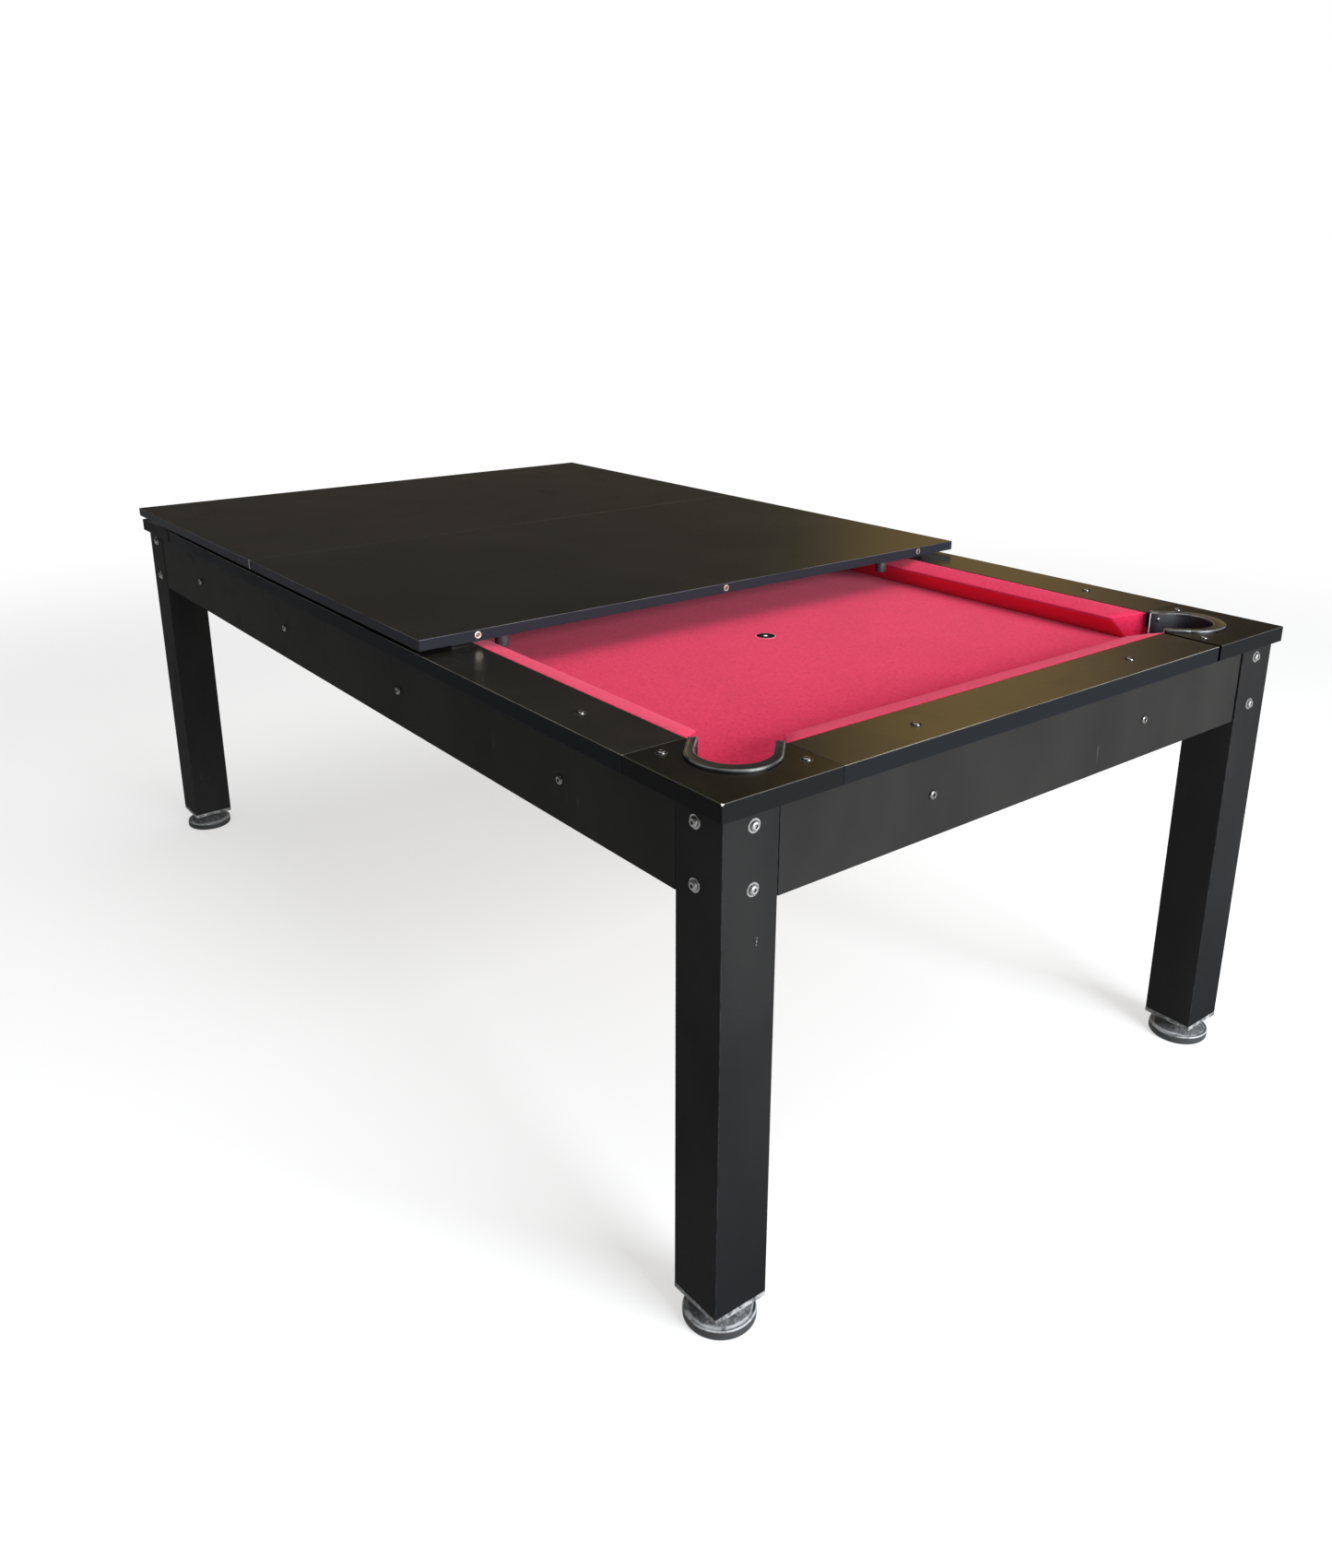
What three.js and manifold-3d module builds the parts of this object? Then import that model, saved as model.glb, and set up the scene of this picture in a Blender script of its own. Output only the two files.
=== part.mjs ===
// Pool table with a lift-off dining cover: box-section legs, folded aprons, boarded rails and a cloth bed.
// Millimetres. +X runs along the table, +Y across it, +Z up. The origin is on the floor under the middle.
// Front is -Y, back is +Y, left is -X and right is +X.
import * as THREE from "three";
import { mergeVertices } from "three/addons/utils/BufferGeometryUtils.js";
import Module from "manifold-3d";

const wasm = await Module();
wasm.setup();

// Rails: the top frame of the table
const railLength = 2290;
const railWidth = 1300;
const railTop = 835;
const railThick = 27;
const railBoard = 106.5; // from the outer edge to the cushion
const cornerPlate = 204; // side of the square plate at each corner
const jointGap = 0.6; // rail end to corner plate
const looseGap = 2.6; // the back end of each short rail doesn't close up

// Cushions
const cushionDepth = 48.5; // from the rail to the nose
const noseDrop = 11; // the top falls this much from the rail to the nose
const noseLip = 5;
const cushionUndercut = 22;
const cushionBacking = 20; // strip of the cushion that goes under the rail
const cornerJaw = 40; // how far a jaw runs back from the nose at a corner pocket
const sideJaw = 10; // the same at a middle pocket
const jawGap = 1.6; // jaw to pocket rim, measured across the pocket

// Bed
const clothDrop = 50; // from the rail top to the cloth
const clothThick = 0.9;
const bedThick = 19;
const bedMargin = 36; // how far the bed runs on under the rails

// Pockets: a horseshoe rim on a moulded bucket
const pocketRadius = 52;
const pocketWall = 4;
const pocketFloor = 4;
const cornerPocketShift = 32; // from the corner of the playing field, along X and along Y
const sidePocketShift = 57; // from the nose line to the middle pocket's centre
const rimSide = 10; // rim beyond the wall at its two straight sides
const rimBack = 18; // and behind
const rimHeight = 4.7; // above the rail
const mouthLength = 42; // straight sides from the bend to the mouth
const bucketAboveApron = 14; // bucket floor above the apron's lower edge
const pocketClearance = 0.6;

// Legs, aprons and what joins them
const legInset = 11; // leg face to rail edge
const legSize = 93;
const legWall = 3;
const legLift = 48; // leg's lower end above the floor
const apronBottom = 676;
const apronInset = 1; // apron face behind leg face
const apronFlange = 24;
const legJoint = 2; // shadow gap between apron and leg
const bracketWall = 4;
const bracketReach = 57; // bracket beyond the leg, behind the apron
const bracketInset = 6; // bracket short of the apron's flanges
const bearerWidth = 40;
const bearerDepth = 60;
const bearerPlaces = [0.22, 0.78]; // share of the clear run between middle and corner pockets

// Feet
const capBand = 8; // visible edge of the leg's end cap
const capPlug = 20;
const capClearance = 0.3;
const padRadius = 54;
const padEdge = 17;
const padDome = 30;
const padSocket = 12; // solid rubber under the stud
const collarFlats = 24;
const studRadius = 8;
const studLength = 104;
const studClearance = 0.4;

// Cover
const coverBoards = 3; // boards that make the whole cover
const coverSet = ["left", "middle"]; // the ones on the table
const coverOverhang = 5; // past the long rails
const coverThick = 19;
const coverLift = 9.5; // above the rails
const coverSeam = 1;
const coverFootWidth = 40;
const coverFootInset = 44; // foot's middle to the board's edge
const coverFootPastPlate = 60; // on an end board the outer feet stand this far past the corner plate
const coverFootReach = 42; // the foot's pad on the rail
const pegRadius = 12;
const pegInset = 20; // peg's middle inside the nose line
const pegDrop = 23; // below the rail top

const touchGap = 0.3; // between pieces that rest on each other
const roundSteps = 12; // steps in a half circle

// Places that follow from the sizes above
const halfLength = railLength / 2;
const halfWidth = railWidth / 2;
const railBottom = railTop - railThick;
const bedTop = railTop - clothDrop;
const slabTop = bedTop - clothThick - touchGap;
const noseX = halfLength - railBoard - cushionDepth;
const noseY = halfWidth - railBoard - cushionDepth;
const outerRadius = pocketRadius + pocketWall;
const bucketBottom = apronBottom + bucketAboveApron;
const rimTop = railTop + rimHeight;
const apronTop = railBottom - touchGap;
const apronWall = legWall - apronInset;
const legX = halfLength - legInset;
const legY = halfWidth - legInset;
const capBottom = legLift - capBand;
const coverBottom = railTop + coverLift;

const finishes = {
  blackPaint: { color: 0x17171a, roughness: 0.42, metalness: 0.1 },
  blackBoard: { color: 0x1b1916, roughness: 0.4, metalness: 0 },
  redCloth: { color: 0xb8203f, roughness: 0.95, metalness: 0 },
  rubber: { color: 0x1d1e1f, roughness: 0.7, metalness: 0 },
  plastic: { color: 0x141516, roughness: 0.5, metalness: 0 },
  zinc: { color: 0x9b9da0, roughness: 0.35, metalness: 1 },
  timber: { color: 0x8a6a45, roughness: 0.8, metalness: 0 },
  fibreboard: { color: 0x8d7455, roughness: 0.85, metalness: 0 },
};

const table = new THREE.Group();

// Corners of the table, and its four sides, each with the distance to its outer edge and half its run.
const corners = [];
for (const [depthName, y] of [["front", -1], ["back", 1]]) {
  for (const [endName, x] of [["left", -1], ["right", 1]]) {
    corners.push({ name: `${depthName}_${endName}`, x, y });
  }
}
const sides = [
  { name: "back", turn: 0, reach: halfWidth, run: halfLength },
  { name: "left", turn: Math.PI / 2, reach: halfLength, run: halfWidth },
  { name: "front", turn: Math.PI, reach: halfWidth, run: halfLength },
  { name: "right", turn: -Math.PI / 2, reach: halfLength, run: halfWidth },
];

// Pockets, each with its centre and the direction that it faces away from the play.
const pockets = corners.map(({ name, x, y }) => ({
  name,
  x: x * (noseX + cornerPocketShift),
  y: y * (noseY + cornerPocketShift),
  turn: Math.atan2(y, x),
}));
for (const [name, y] of [["front_middle", -1], ["back_middle", 1]]) {
  pockets.push({ name, x: 0, y: y * (noseY + sidePocketShift), turn: (y * Math.PI) / 2 });
}

function solidFrom(geometry) {
  const bare = geometry.clone();
  bare.deleteAttribute("normal");
  bare.deleteAttribute("uv");
  const merged = mergeVertices(bare, 1e-3);
  return new wasm.Manifold(
    new wasm.Mesh({
      numProp: 3,
      vertProperties: new Float32Array(merged.getAttribute("position").array),
      triVerts: new Uint32Array(merged.index.array),
    }),
  );
}

function geometryFrom(solid) {
  const { vertProperties, triVerts } = solid.getMesh();
  const geometry = new THREE.BufferGeometry();
  geometry.setAttribute("position", new THREE.BufferAttribute(vertProperties, 3));
  geometry.setIndex(new THREE.BufferAttribute(triVerts, 1));
  const faceted = geometry.toNonIndexed();
  faceted.computeVertexNormals();
  return faceted;
}

function joined(...geometries) {
  return geometryFrom(geometries.map(solidFrom).reduce((whole, next) => whole.add(next)));
}

function cut(geometry, ...cutters) {
  return geometryFrom(cutters.map(solidFrom).reduce((whole, next) => whole.subtract(next), solidFrom(geometry)));
}

function place(name, geometry, finish) {
  const mesh = new THREE.Mesh(geometry, new THREE.MeshStandardMaterial(finishes[finish]));
  mesh.name = name;
  table.add(mesh);
}

function block([x0, x1], [y0, y1], [z0, z1]) {
  const box = new THREE.BoxGeometry(Math.abs(x1 - x0), Math.abs(y1 - y0), Math.abs(z1 - z0));
  return box.translate((x0 + x1) / 2, (y0 + y1) / 2, (z0 + z1) / 2);
}

// A flat outline raised from one height to another.
function slab(shape, bottom, top) {
  const options = { depth: top - bottom, bevelEnabled: false, curveSegments: roundSteps };
  return new THREE.ExtrudeGeometry(shape, options).translate(0, 0, bottom);
}

function outline(points) {
  return new THREE.Shape(points.map(([x, y]) => new THREE.Vector2(x, y)));
}

function turned(points, steps) {
  const profile = points.map(([radius, height]) => new THREE.Vector2(radius, height));
  return new THREE.LatheGeometry(profile, steps).rotateX(Math.PI / 2);
}

// A section of [outward, up] points run along a side of the table, which lies along X with its face to +Y.
// start and end give each point's X from its outward distance, so an end can be square or slanted.
function runAlong(section, start, end) {
  const geometry = new THREE.ExtrudeGeometry(outline(section), { depth: 1, bevelEnabled: false });
  const [along, outward, up] = [new THREE.Vector3(1, 0, 0), new THREE.Vector3(0, 1, 0), new THREE.Vector3(0, 0, 1)];
  geometry.applyMatrix4(new THREE.Matrix4().makeBasis(outward, up, along));
  const position = geometry.getAttribute("position");
  for (let i = 0; i < position.count; i += 1) {
    const y = position.getY(i);
    position.setX(i, THREE.MathUtils.lerp(start(y), end(y), position.getX(i)));
  }
  return geometry;
}

// Seen from above, with the play towards -X: two straight sides that end at `end`, closed by a half circle
// round `bend`. The half circle faces away from the play if end < bend, and towards it if end > bend.
function horseshoe(radius, bend, end) {
  const shape = new THREE.Shape();
  const away = end < bend;
  const side = away ? -radius : radius;
  shape.moveTo(end, side);
  shape.lineTo(bend, side);
  shape.absarc(bend, 0, radius, away ? -Math.PI / 2 : Math.PI / 2, away ? Math.PI / 2 : (3 * Math.PI) / 2, false);
  shape.lineTo(end, -side);
  shape.closePath();
  return shape;
}

function disc(radius) {
  const shape = new THREE.Shape();
  shape.absarc(0, 0, radius, 0, 2 * Math.PI, false);
  return shape;
}

function atPocket(geometry, pocket) {
  return geometry.clone().rotateZ(pocket.turn).translate(pocket.x, pocket.y, 0);
}

// What each pocket needs kept clear: round its bucket, above the bed with the mouth, and through the bed,
// where the cut runs on outwards to the board's edge.
const clearRadius = outerRadius + pocketClearance;
const bucketWell = slab(disc(clearRadius), bucketBottom - 1, rimTop);
const railWell = slab(horseshoe(clearRadius, 0, -outerRadius - mouthLength), bedTop, rimTop);
const bedWell = slab(horseshoe(clearRadius, 0, 4 * outerRadius), slabTop - 2 * bedThick, rimTop);

function clearOfPockets(geometry, well) {
  return cut(geometry, ...pockets.map((pocket) => atPocket(well, pocket)));
}

function makeRails() {
  for (const { name, turn, reach, run } of sides) {
    const end = run - cornerPlate;
    // the back end of a short rail lies at +X before the left one is turned, and at -X before the right one
    const startGap = name === "right" ? looseGap : jointGap;
    const endGap = name === "left" ? looseGap : jointGap;
    const board = block([-end + startGap, end - endGap], [reach - railBoard, reach], [railBottom, railTop]);
    place(`rail_${name}`, clearOfPockets(board.rotateZ(turn), railWell), "blackBoard");
  }
  for (const { name, x, y } of corners) {
    const square = block(
      [x * (halfLength - cornerPlate), x * halfLength],
      [y * (halfWidth - cornerPlate), y * halfWidth],
      [railBottom, railTop],
    );
    const play = block(
      [0, x * (halfLength - railBoard)],
      [0, y * (halfWidth - railBoard)],
      [railBottom - 1, railTop + 1],
    );
    place(`corner_plate_${name}`, clearOfPockets(cut(square, play), railWell), "blackBoard");
  }
}

// The cushion's section, from the nose line outwards.
function cushionSection(noseLine) {
  const foot = bedTop + touchGap;
  const railFace = noseLine + cushionDepth - touchGap;
  const noseTop = railTop - noseDrop;
  return [
    [noseLine, noseTop],
    [noseLine, noseTop - noseLip],
    [noseLine + cushionUndercut, foot],
    [railFace + cushionBacking, foot],
    [railFace + cushionBacking, railBottom - touchGap],
    [railFace, railBottom - touchGap],
    [railFace, railTop - touchGap],
  ];
}

function makeCushions() {
  const rimHalf = outerRadius + rimSide;
  // Across a corner pocket the rim's half width, set off at 45 degrees, gives the jaw's place on the rail.
  const cornerOffset = (rimHalf + jawGap) * Math.SQRT2;
  for (const { name, turn, reach, run } of sides) {
    const noseLine = reach - railBoard - cushionDepth;
    const otherNose = run - railBoard - cushionDepth;
    const railLine = noseLine + cushionDepth;
    const jawSlope = cornerJaw / cushionDepth;
    const cornerEnd = (y) => otherNose + cushionDepth - cornerOffset + (y - railLine) * jawSlope;
    const middleEnd = (y) => rimHalf + jawGap - ((y - railLine) * sideJaw) / cushionDepth;
    const section = cushionSection(noseLine);
    if (run === halfWidth) {
      const cushion = runAlong(section, (y) => -cornerEnd(y), cornerEnd);
      place(`cushion_${name}`, cushion.rotateZ(turn), "redCloth");
      continue;
    }
    for (const half of [-1, 1]) {
      const cushion =
        half > 0 ? runAlong(section, middleEnd, cornerEnd) : runAlong(section, (y) => -cornerEnd(y), (y) => -middleEnd(y));
      const end = half * Math.cos(turn) > 0 ? "right" : "left";
      place(`cushion_${name}_${end}`, cushion.rotateZ(turn), "redCloth");
    }
  }
}

function makeBed() {
  const x = halfLength - railBoard + bedMargin;
  const y = halfWidth - railBoard + bedMargin;
  const board = block([-x, x], [-y, y], [slabTop - bedThick, slabTop]);
  place("bed", clearOfPockets(board, bedWell), "fibreboard");
  const cloth = block([-x, x], [-y, y], [bedTop - clothThick, bedTop]);
  place("bed_cloth", clearOfPockets(cloth, bedWell), "redCloth");
  const clearFrom = outerRadius;
  const clearTo = noseX + cornerPocketShift - outerRadius;
  const bearerTop = slabTop - bedThick - touchGap;
  const bearerEnd = legY - legWall - touchGap;
  let number = 1;
  for (const side of [-1, 1]) {
    for (const share of bearerPlaces) {
      const middle = side * THREE.MathUtils.lerp(clearFrom, clearTo, share);
      const bearer = block(
        [middle - bearerWidth / 2, middle + bearerWidth / 2],
        [-bearerEnd, bearerEnd],
        [bearerTop - bearerDepth, bearerTop],
      );
      place(`bearer_${number}`, bearer, "timber");
      number += 1;
    }
  }
}

function makePockets() {
  const rimBend = rimBack - rimSide;
  const wallTop = rimTop;
  const mouth = -mouthLength;
  const aboveBed = bedTop + touchGap;
  const lip = bedTop - 1.5; // the mouth side of the bucket stops just under the cloth
  const outside = joined(
    slab(disc(outerRadius), bucketBottom, aboveBed + 1),
    slab(horseshoe(outerRadius, 0, mouth), aboveBed, wallTop),
    slab(horseshoe(outerRadius + rimSide, rimBend, mouth), railTop + touchGap, wallTop),
  );
  const liner = cut(
    outside,
    slab(disc(pocketRadius), bucketBottom + pocketFloor, lip + 1),
    slab(horseshoe(pocketRadius, 0, mouth - outerRadius), lip, wallTop + 1),
  );
  for (const pocket of pockets) {
    place(`pocket_liner_${pocket.name}`, atPocket(liner, pocket), "rubber");
  }
}

function makeLegs() {
  const innerX = legX - legSize;
  const innerY = legY - legSize;
  for (const { name, x, y } of corners) {
    const onX = (from, to) => [x * from, x * to];
    const onY = (from, to) => [y * from, y * to];
    const tube = cut(
      block(onX(innerX, legX), onY(innerY, legY), [legLift, apronTop]),
      block(onX(innerX + legWall, legX - legWall), onY(innerY + legWall, legY - legWall), [0, railTop]),
      // above the apron's lower edge only the two outer faces go on up, round the pocket
      block(onX(innerX - 1, legX - legWall), onY(innerY - 1, legY - legWall), [apronBottom - touchGap, railTop]),
    );
    place(`leg_${name}`, tube, "blackPaint");

    const plugIn = legWall + capClearance;
    const centreX = x * (legX - legSize / 2);
    const centreY = y * (legY - legSize / 2);
    const hole = slab(disc(studRadius + studClearance), 0, legLift + 2 * capPlug).translate(centreX, centreY, 0);
    const cap = cut(
      joined(
        block(onX(innerX, legX), onY(innerY, legY), [capBottom, legLift - touchGap]),
        block(onX(innerX + plugIn, legX - plugIn), onY(innerY + plugIn, legY - plugIn), [capBottom, legLift + capPlug]),
      ),
      hole,
    );
    place(`leg_cap_${name}`, cap, "plastic");

    const wallX = legX - legWall - touchGap;
    const wallY = legY - legWall - touchGap;
    const heights = [apronBottom + bracketInset, apronTop - bracketInset];
    const bracket = joined(
      block(onX(innerX - bracketReach, wallX), onY(wallY - bracketWall, wallY), heights),
      block(onX(wallX - bracketWall, wallX), onY(innerY - bracketReach, wallY), heights),
    );
    place(`corner_bracket_${name}`, clearOfPockets(bracket, bucketWell), "blackPaint");

    makeFoot(name, centreX, centreY);
  }
}

// The pad carries the table. The stud turns in it and screws up into the leg's cap.
function makeFoot(name, x, y) {
  const socket = studRadius + studClearance;
  const collarTop = capBottom - touchGap;
  const collarBottom = padDome + touchGap;
  const pad = turned(
    [
      [0, 0],
      [padRadius - 3, 0],
      [padRadius, 3],
      [padRadius, padEdge - 2],
      [padRadius - 2, padEdge],
      [padRadius * 0.55, padDome - 3],
      [socket + 8, padDome],
      [socket, padDome],
      [socket, padSocket],
      [0, padSocket],
    ],
    2 * roundSteps,
  );
  place(`foot_pad_${name}`, pad.translate(x, y, 0), "rubber");

  const studBottom = padSocket + touchGap;
  const shaft = slab(disc(studRadius), studBottom, studBottom + studLength);
  const hexCorner = collarFlats / Math.sqrt(3);
  const hex = new THREE.CylinderGeometry(hexCorner, hexCorner, collarTop - collarBottom, 6);
  const collar = hex.rotateX(Math.PI / 2).translate(0, 0, (collarTop + collarBottom) / 2);
  place(`foot_stud_${name}`, joined(shaft, collar).translate(x, y, 0), "zinc");
}

function makeAprons() {
  const faceInset = legInset + apronInset;
  for (const { name, turn, reach, run } of sides) {
    const face = reach - faceInset;
    const inside = face - apronWall;
    const flangeEdge = face - apronFlange;
    const section = [
      [face, apronBottom],
      [face, apronTop],
      [flangeEdge, apronTop],
      [flangeEdge, apronTop - apronWall],
      [inside, apronTop - apronWall],
      [inside, apronBottom + apronWall],
      [flangeEdge, apronBottom + apronWall],
      [flangeEdge, apronBottom],
    ];
    const end = run - legInset - legSize - legJoint;
    const channel = runAlong(section, () => -end, () => end);
    place(`apron_${name}`, clearOfPockets(channel.rotateZ(turn), bucketWell), "blackPaint");
  }
}

function makeCover() {
  const pitch = railLength / coverBoards;
  const side = halfWidth + coverOverhang;
  coverSet.forEach((name, index) => {
    const from = -halfLength + index * pitch;
    const to = from + pitch;
    const atEnd = index === 0;
    const board = block(
      [from + (atEnd ? 0 : coverSeam / 2), to - coverSeam / 2],
      [-side, side],
      [coverBottom, coverBottom + coverThick],
    );
    place(`cover_board_${name}`, board, "blackBoard");
    const firstInset = atEnd ? cornerPlate + coverFootPastPlate : coverFootInset;
    let number = 1;
    for (const middle of [from + firstInset, to - coverFootInset]) {
      for (const y of [-1, 1]) {
        const pegY = y * (noseY - pegInset);
        const pad = block(
          [middle - coverFootWidth / 2, middle + coverFootWidth / 2],
          [pegY - y * pegRadius, y * (halfWidth - railBoard + coverFootReach)],
          [railTop + touchGap, coverBottom - touchGap],
        );
        const peg = slab(disc(pegRadius), railTop - pegDrop, coverBottom - touchGap).translate(middle, pegY, 0);
        place(`cover_foot_${name}_${number}`, joined(pad, peg), "plastic");
        number += 1;
      }
    }
  });
}

makeRails();
makeCushions();
makeBed();
makePockets();
makeLegs();
makeAprons();
makeCover();

export default table;
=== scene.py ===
import math

import bmesh
import bpy
from mathutils import Matrix, Vector, noise


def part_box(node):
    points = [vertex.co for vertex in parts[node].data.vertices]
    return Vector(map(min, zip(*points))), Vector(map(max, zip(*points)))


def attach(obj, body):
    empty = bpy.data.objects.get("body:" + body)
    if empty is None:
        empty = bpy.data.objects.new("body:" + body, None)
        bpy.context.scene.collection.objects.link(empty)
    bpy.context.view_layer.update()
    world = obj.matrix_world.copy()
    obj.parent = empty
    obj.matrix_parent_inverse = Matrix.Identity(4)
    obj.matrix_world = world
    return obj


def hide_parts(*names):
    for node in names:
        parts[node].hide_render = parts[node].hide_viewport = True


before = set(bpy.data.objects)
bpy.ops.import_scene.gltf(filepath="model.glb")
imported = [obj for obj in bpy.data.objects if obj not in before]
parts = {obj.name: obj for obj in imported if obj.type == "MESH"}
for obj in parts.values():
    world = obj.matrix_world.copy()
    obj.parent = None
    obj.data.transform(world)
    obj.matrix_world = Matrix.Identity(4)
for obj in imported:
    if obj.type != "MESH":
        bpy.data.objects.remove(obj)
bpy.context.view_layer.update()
print("stage: frame loaded,", len(parts), "parts")

mm = 0.001
corners = {"front_left": (-1, -1), "front_right": (1, -1), "back_left": (-1, 1), "back_right": (1, 1)}
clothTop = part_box("bed_cloth")[1].z
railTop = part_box("rail_front")[1].z
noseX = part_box("cushion_right")[0].x  # where the cushions' noses stand
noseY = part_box("cushion_back_right")[0].y

# Camera: where it stands, which way it looks (degrees) and its lens.
cameraLook = {
    "place": (2.2077, -1.5505, 1.4391),
    "azimuth": 52.41,
    "elevation": 18.295,
    "lens": 29.245,
    "sensor": 36,
    "shift": (-0.0007, -0.0603),
    "clip": (0.05, 200),
}


def makeCamera(look):
    turn, tilt = math.radians(look["azimuth"]), math.radians(look["elevation"])
    ahead = Vector((-math.sin(turn) * math.cos(tilt), math.cos(turn) * math.cos(tilt), -math.sin(tilt)))
    data = bpy.data.cameras.new("studioCamera")
    data.sensor_width = look["sensor"]
    data.lens = look["lens"]
    data.shift_x, data.shift_y = look["shift"]
    data.clip_start, data.clip_end = look["clip"]
    camera = bpy.data.objects.new("studioCamera", data)
    camera.location = look["place"]
    camera.rotation_euler = ahead.to_track_quat("-Z", "Y").to_euler()
    bpy.context.scene.collection.objects.link(camera)
    bpy.context.scene.camera = camera


makeCamera(cameraLook)
print("stage: camera placed")


# One socket of a node. Sums written with wires add their own Math nodes.
class Wire:
    def __init__(self, finish, socket):
        self.finish = finish
        self.socket = socket

    def __add__(self, other):
        return self.finish.maths("ADD", self, other)

    def __radd__(self, other):
        return self.finish.maths("ADD", other, self)

    def __sub__(self, other):
        return self.finish.maths("SUBTRACT", self, other)

    def __rsub__(self, other):
        return self.finish.maths("SUBTRACT", other, self)

    def __mul__(self, other):
        return self.finish.maths("MULTIPLY", self, other)

    def __rmul__(self, other):
        return self.finish.maths("MULTIPLY", other, self)

    def __gt__(self, other):
        return self.finish.maths("GREATER_THAN", self, other)

    def __lt__(self, other):
        return self.finish.maths("LESS_THAN", self, other)

    def __abs__(self):
        return self.finish.maths("ABSOLUTE", self)

    def fade(self, low, high):  # 0 at low, 1 at high, smooth between; low may be the greater
        settings = {"interpolation_type": "SMOOTHSTEP"}
        return self.finish.node("ShaderNodeMapRange", settings, {"Value": self, "From Min": low, "From Max": high})

    def other(self, output):  # another output of the same node
        return Wire(self.finish, self.socket.node.outputs[output])


# The nodes of one material, or of the world.
class Finish:
    def __init__(self, name, tree=None):
        if tree is None:
            self.material = bpy.data.materials.new(name)
            self.material.use_nodes = True
            tree = self.material.node_tree
        self.tree = tree
        tree.nodes.clear()
        coordinates = self.node("ShaderNodeTexCoord")
        self.place = coordinates.other("Object")
        self.facing = coordinates.other("Normal")

    def node(self, kind, settings=None, values=None, output=0):
        made = self.tree.nodes.new(kind)
        for name, value in (settings or {}).items():
            setattr(made, name, value)
        for name, value in (values or {}).items():
            socket = made.inputs[name]
            if isinstance(value, Wire):
                self.tree.links.new(value.socket, socket)
            elif socket.type == "RGBA":
                socket.default_value = (*value, 1)
            else:
                socket.default_value = value
        return Wire(self, made.outputs[output]) if made.outputs else None

    def maths(self, operation, *values):
        return self.node("ShaderNodeMath", {"operation": operation}, dict(enumerate(values)))

    def vector(self, operation, first, second, output=0):
        return self.node("ShaderNodeVectorMath", {"operation": operation}, {0: first, 1: second}, output)

    def distance(self, first, second):
        return self.vector("DISTANCE", first, second, output=1)

    def mix(self, share, first, second):
        return self.node("ShaderNodeMix", {"data_type": "RGBA"}, {0: share, 6: first, 7: second}, output=2)

    def split(self, wire):
        x = self.node("ShaderNodeSeparateXYZ", None, {0: wire})
        return x, x.other(1), x.other(2)

    # Noise whose blotches are about size metres across; stretch above 1 packs them closer along that axis.
    def noise(self, size, detail=2.0, stretch=(1, 1, 1), rough=0.5, twist=0.0):
        at = self.vector("MULTIPLY", self.place, stretch)
        values = {"Vector": at, "Scale": 1 / size, "Detail": detail, "Roughness": rough, "Distortion": twist}
        return self.node("ShaderNodeTexNoise", None, values)

    # Small round dots, in a share of the cells of a grid that is cell metres wide.
    def specks(self, cell, radius, share):
        cells = self.node("ShaderNodeTexVoronoi", None, {"Vector": self.place, "Scale": 1 / cell})
        picked = self.split(cells.other("Color"))[0] < share
        return cells.fade(radius / cell, 0.4 * radius / cell) * picked

    # 1 where two faces meet: on an eased edge the surface leans between them.
    def edges(self):
        x, y, z = (abs(part) for part in self.split(self.facing))
        return (x * y + y * z + z * x).fade(0.12, 0.45)

    # 1 on the eased edge round a level top, where low and high are how upright that edge's surface is.
    def shoulder(self, low, high):
        upright = self.split(self.facing)[2]
        return upright.fade(*low) * upright.fade(*high)

    def bump(self, height, depth, under=None):
        values = {"Height": height, "Distance": depth, "Strength": 1.0}
        if under is not None:
            values["Normal"] = under
        return self.node("ShaderNodeBump", None, values)

    def principled(self, colour, roughness, normal, others):
        sockets = {"Base Color": colour, "Roughness": roughness, "Normal": normal, **others}
        return self.node("ShaderNodeBsdfPrincipled", None, sockets)

    def output(self, shader):
        self.node("ShaderNodeOutputMaterial", None, {"Surface": shader})
        return self.material

    def close(self, colour, roughness, normal, others):
        return self.output(self.principled(colour, roughness, normal, others))


seamShade = (0.0003, 0.0003, 0.0004)  # where light is lost in an open joint
matt = 1.15  # refractive index of a face that stays matt at a glancing view

# Black powder coat on the legs and brackets, and a paler one on the aprons.
paintLook = {
    "colour": (0.0112, 0.0111, 0.0112),
    "faded": (0.0160, 0.0158, 0.0156),
    # low is painted shade: faces turned to +X darken to it towards the floor
    "low": (0.0062, 0.0068, 0.0076),
    "shadeLowFrom": 0.62,
    "shadeLowTo": 0.02,
    # edge: worn paint on eased edges and partly a painted highlight, bluish like the window light
    "edge": (0.032, 0.034, 0.040),
    "scratch": (0.16, 0.16, 0.16),
    "scratchWidth": 1.1 * mm,
    "roughness": 0.50,
    "gloss": 0.05,
    "peel": 0.04 * mm,
    "peelSize": 1.7 * mm,
    "cloudSize": 0.19,
    "smudgeSize": 0.05,
    "scuffSize": 0.03,
    "wearAndHighlightSize": 0.012,
    "dust": (0.035, 0.7 * mm, 0.18),  # cell, radius and share of cells, here and below
    "seam": 5 * mm,
}
apronLook = dict(
    paintLook,
    colour=(0.0150, 0.0145, 0.0140),
    faded=(0.0195, 0.0188, 0.0180),
    # the aprons' painted shade colour
    low=(0.0145, 0.0140, 0.0136),
)


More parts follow.
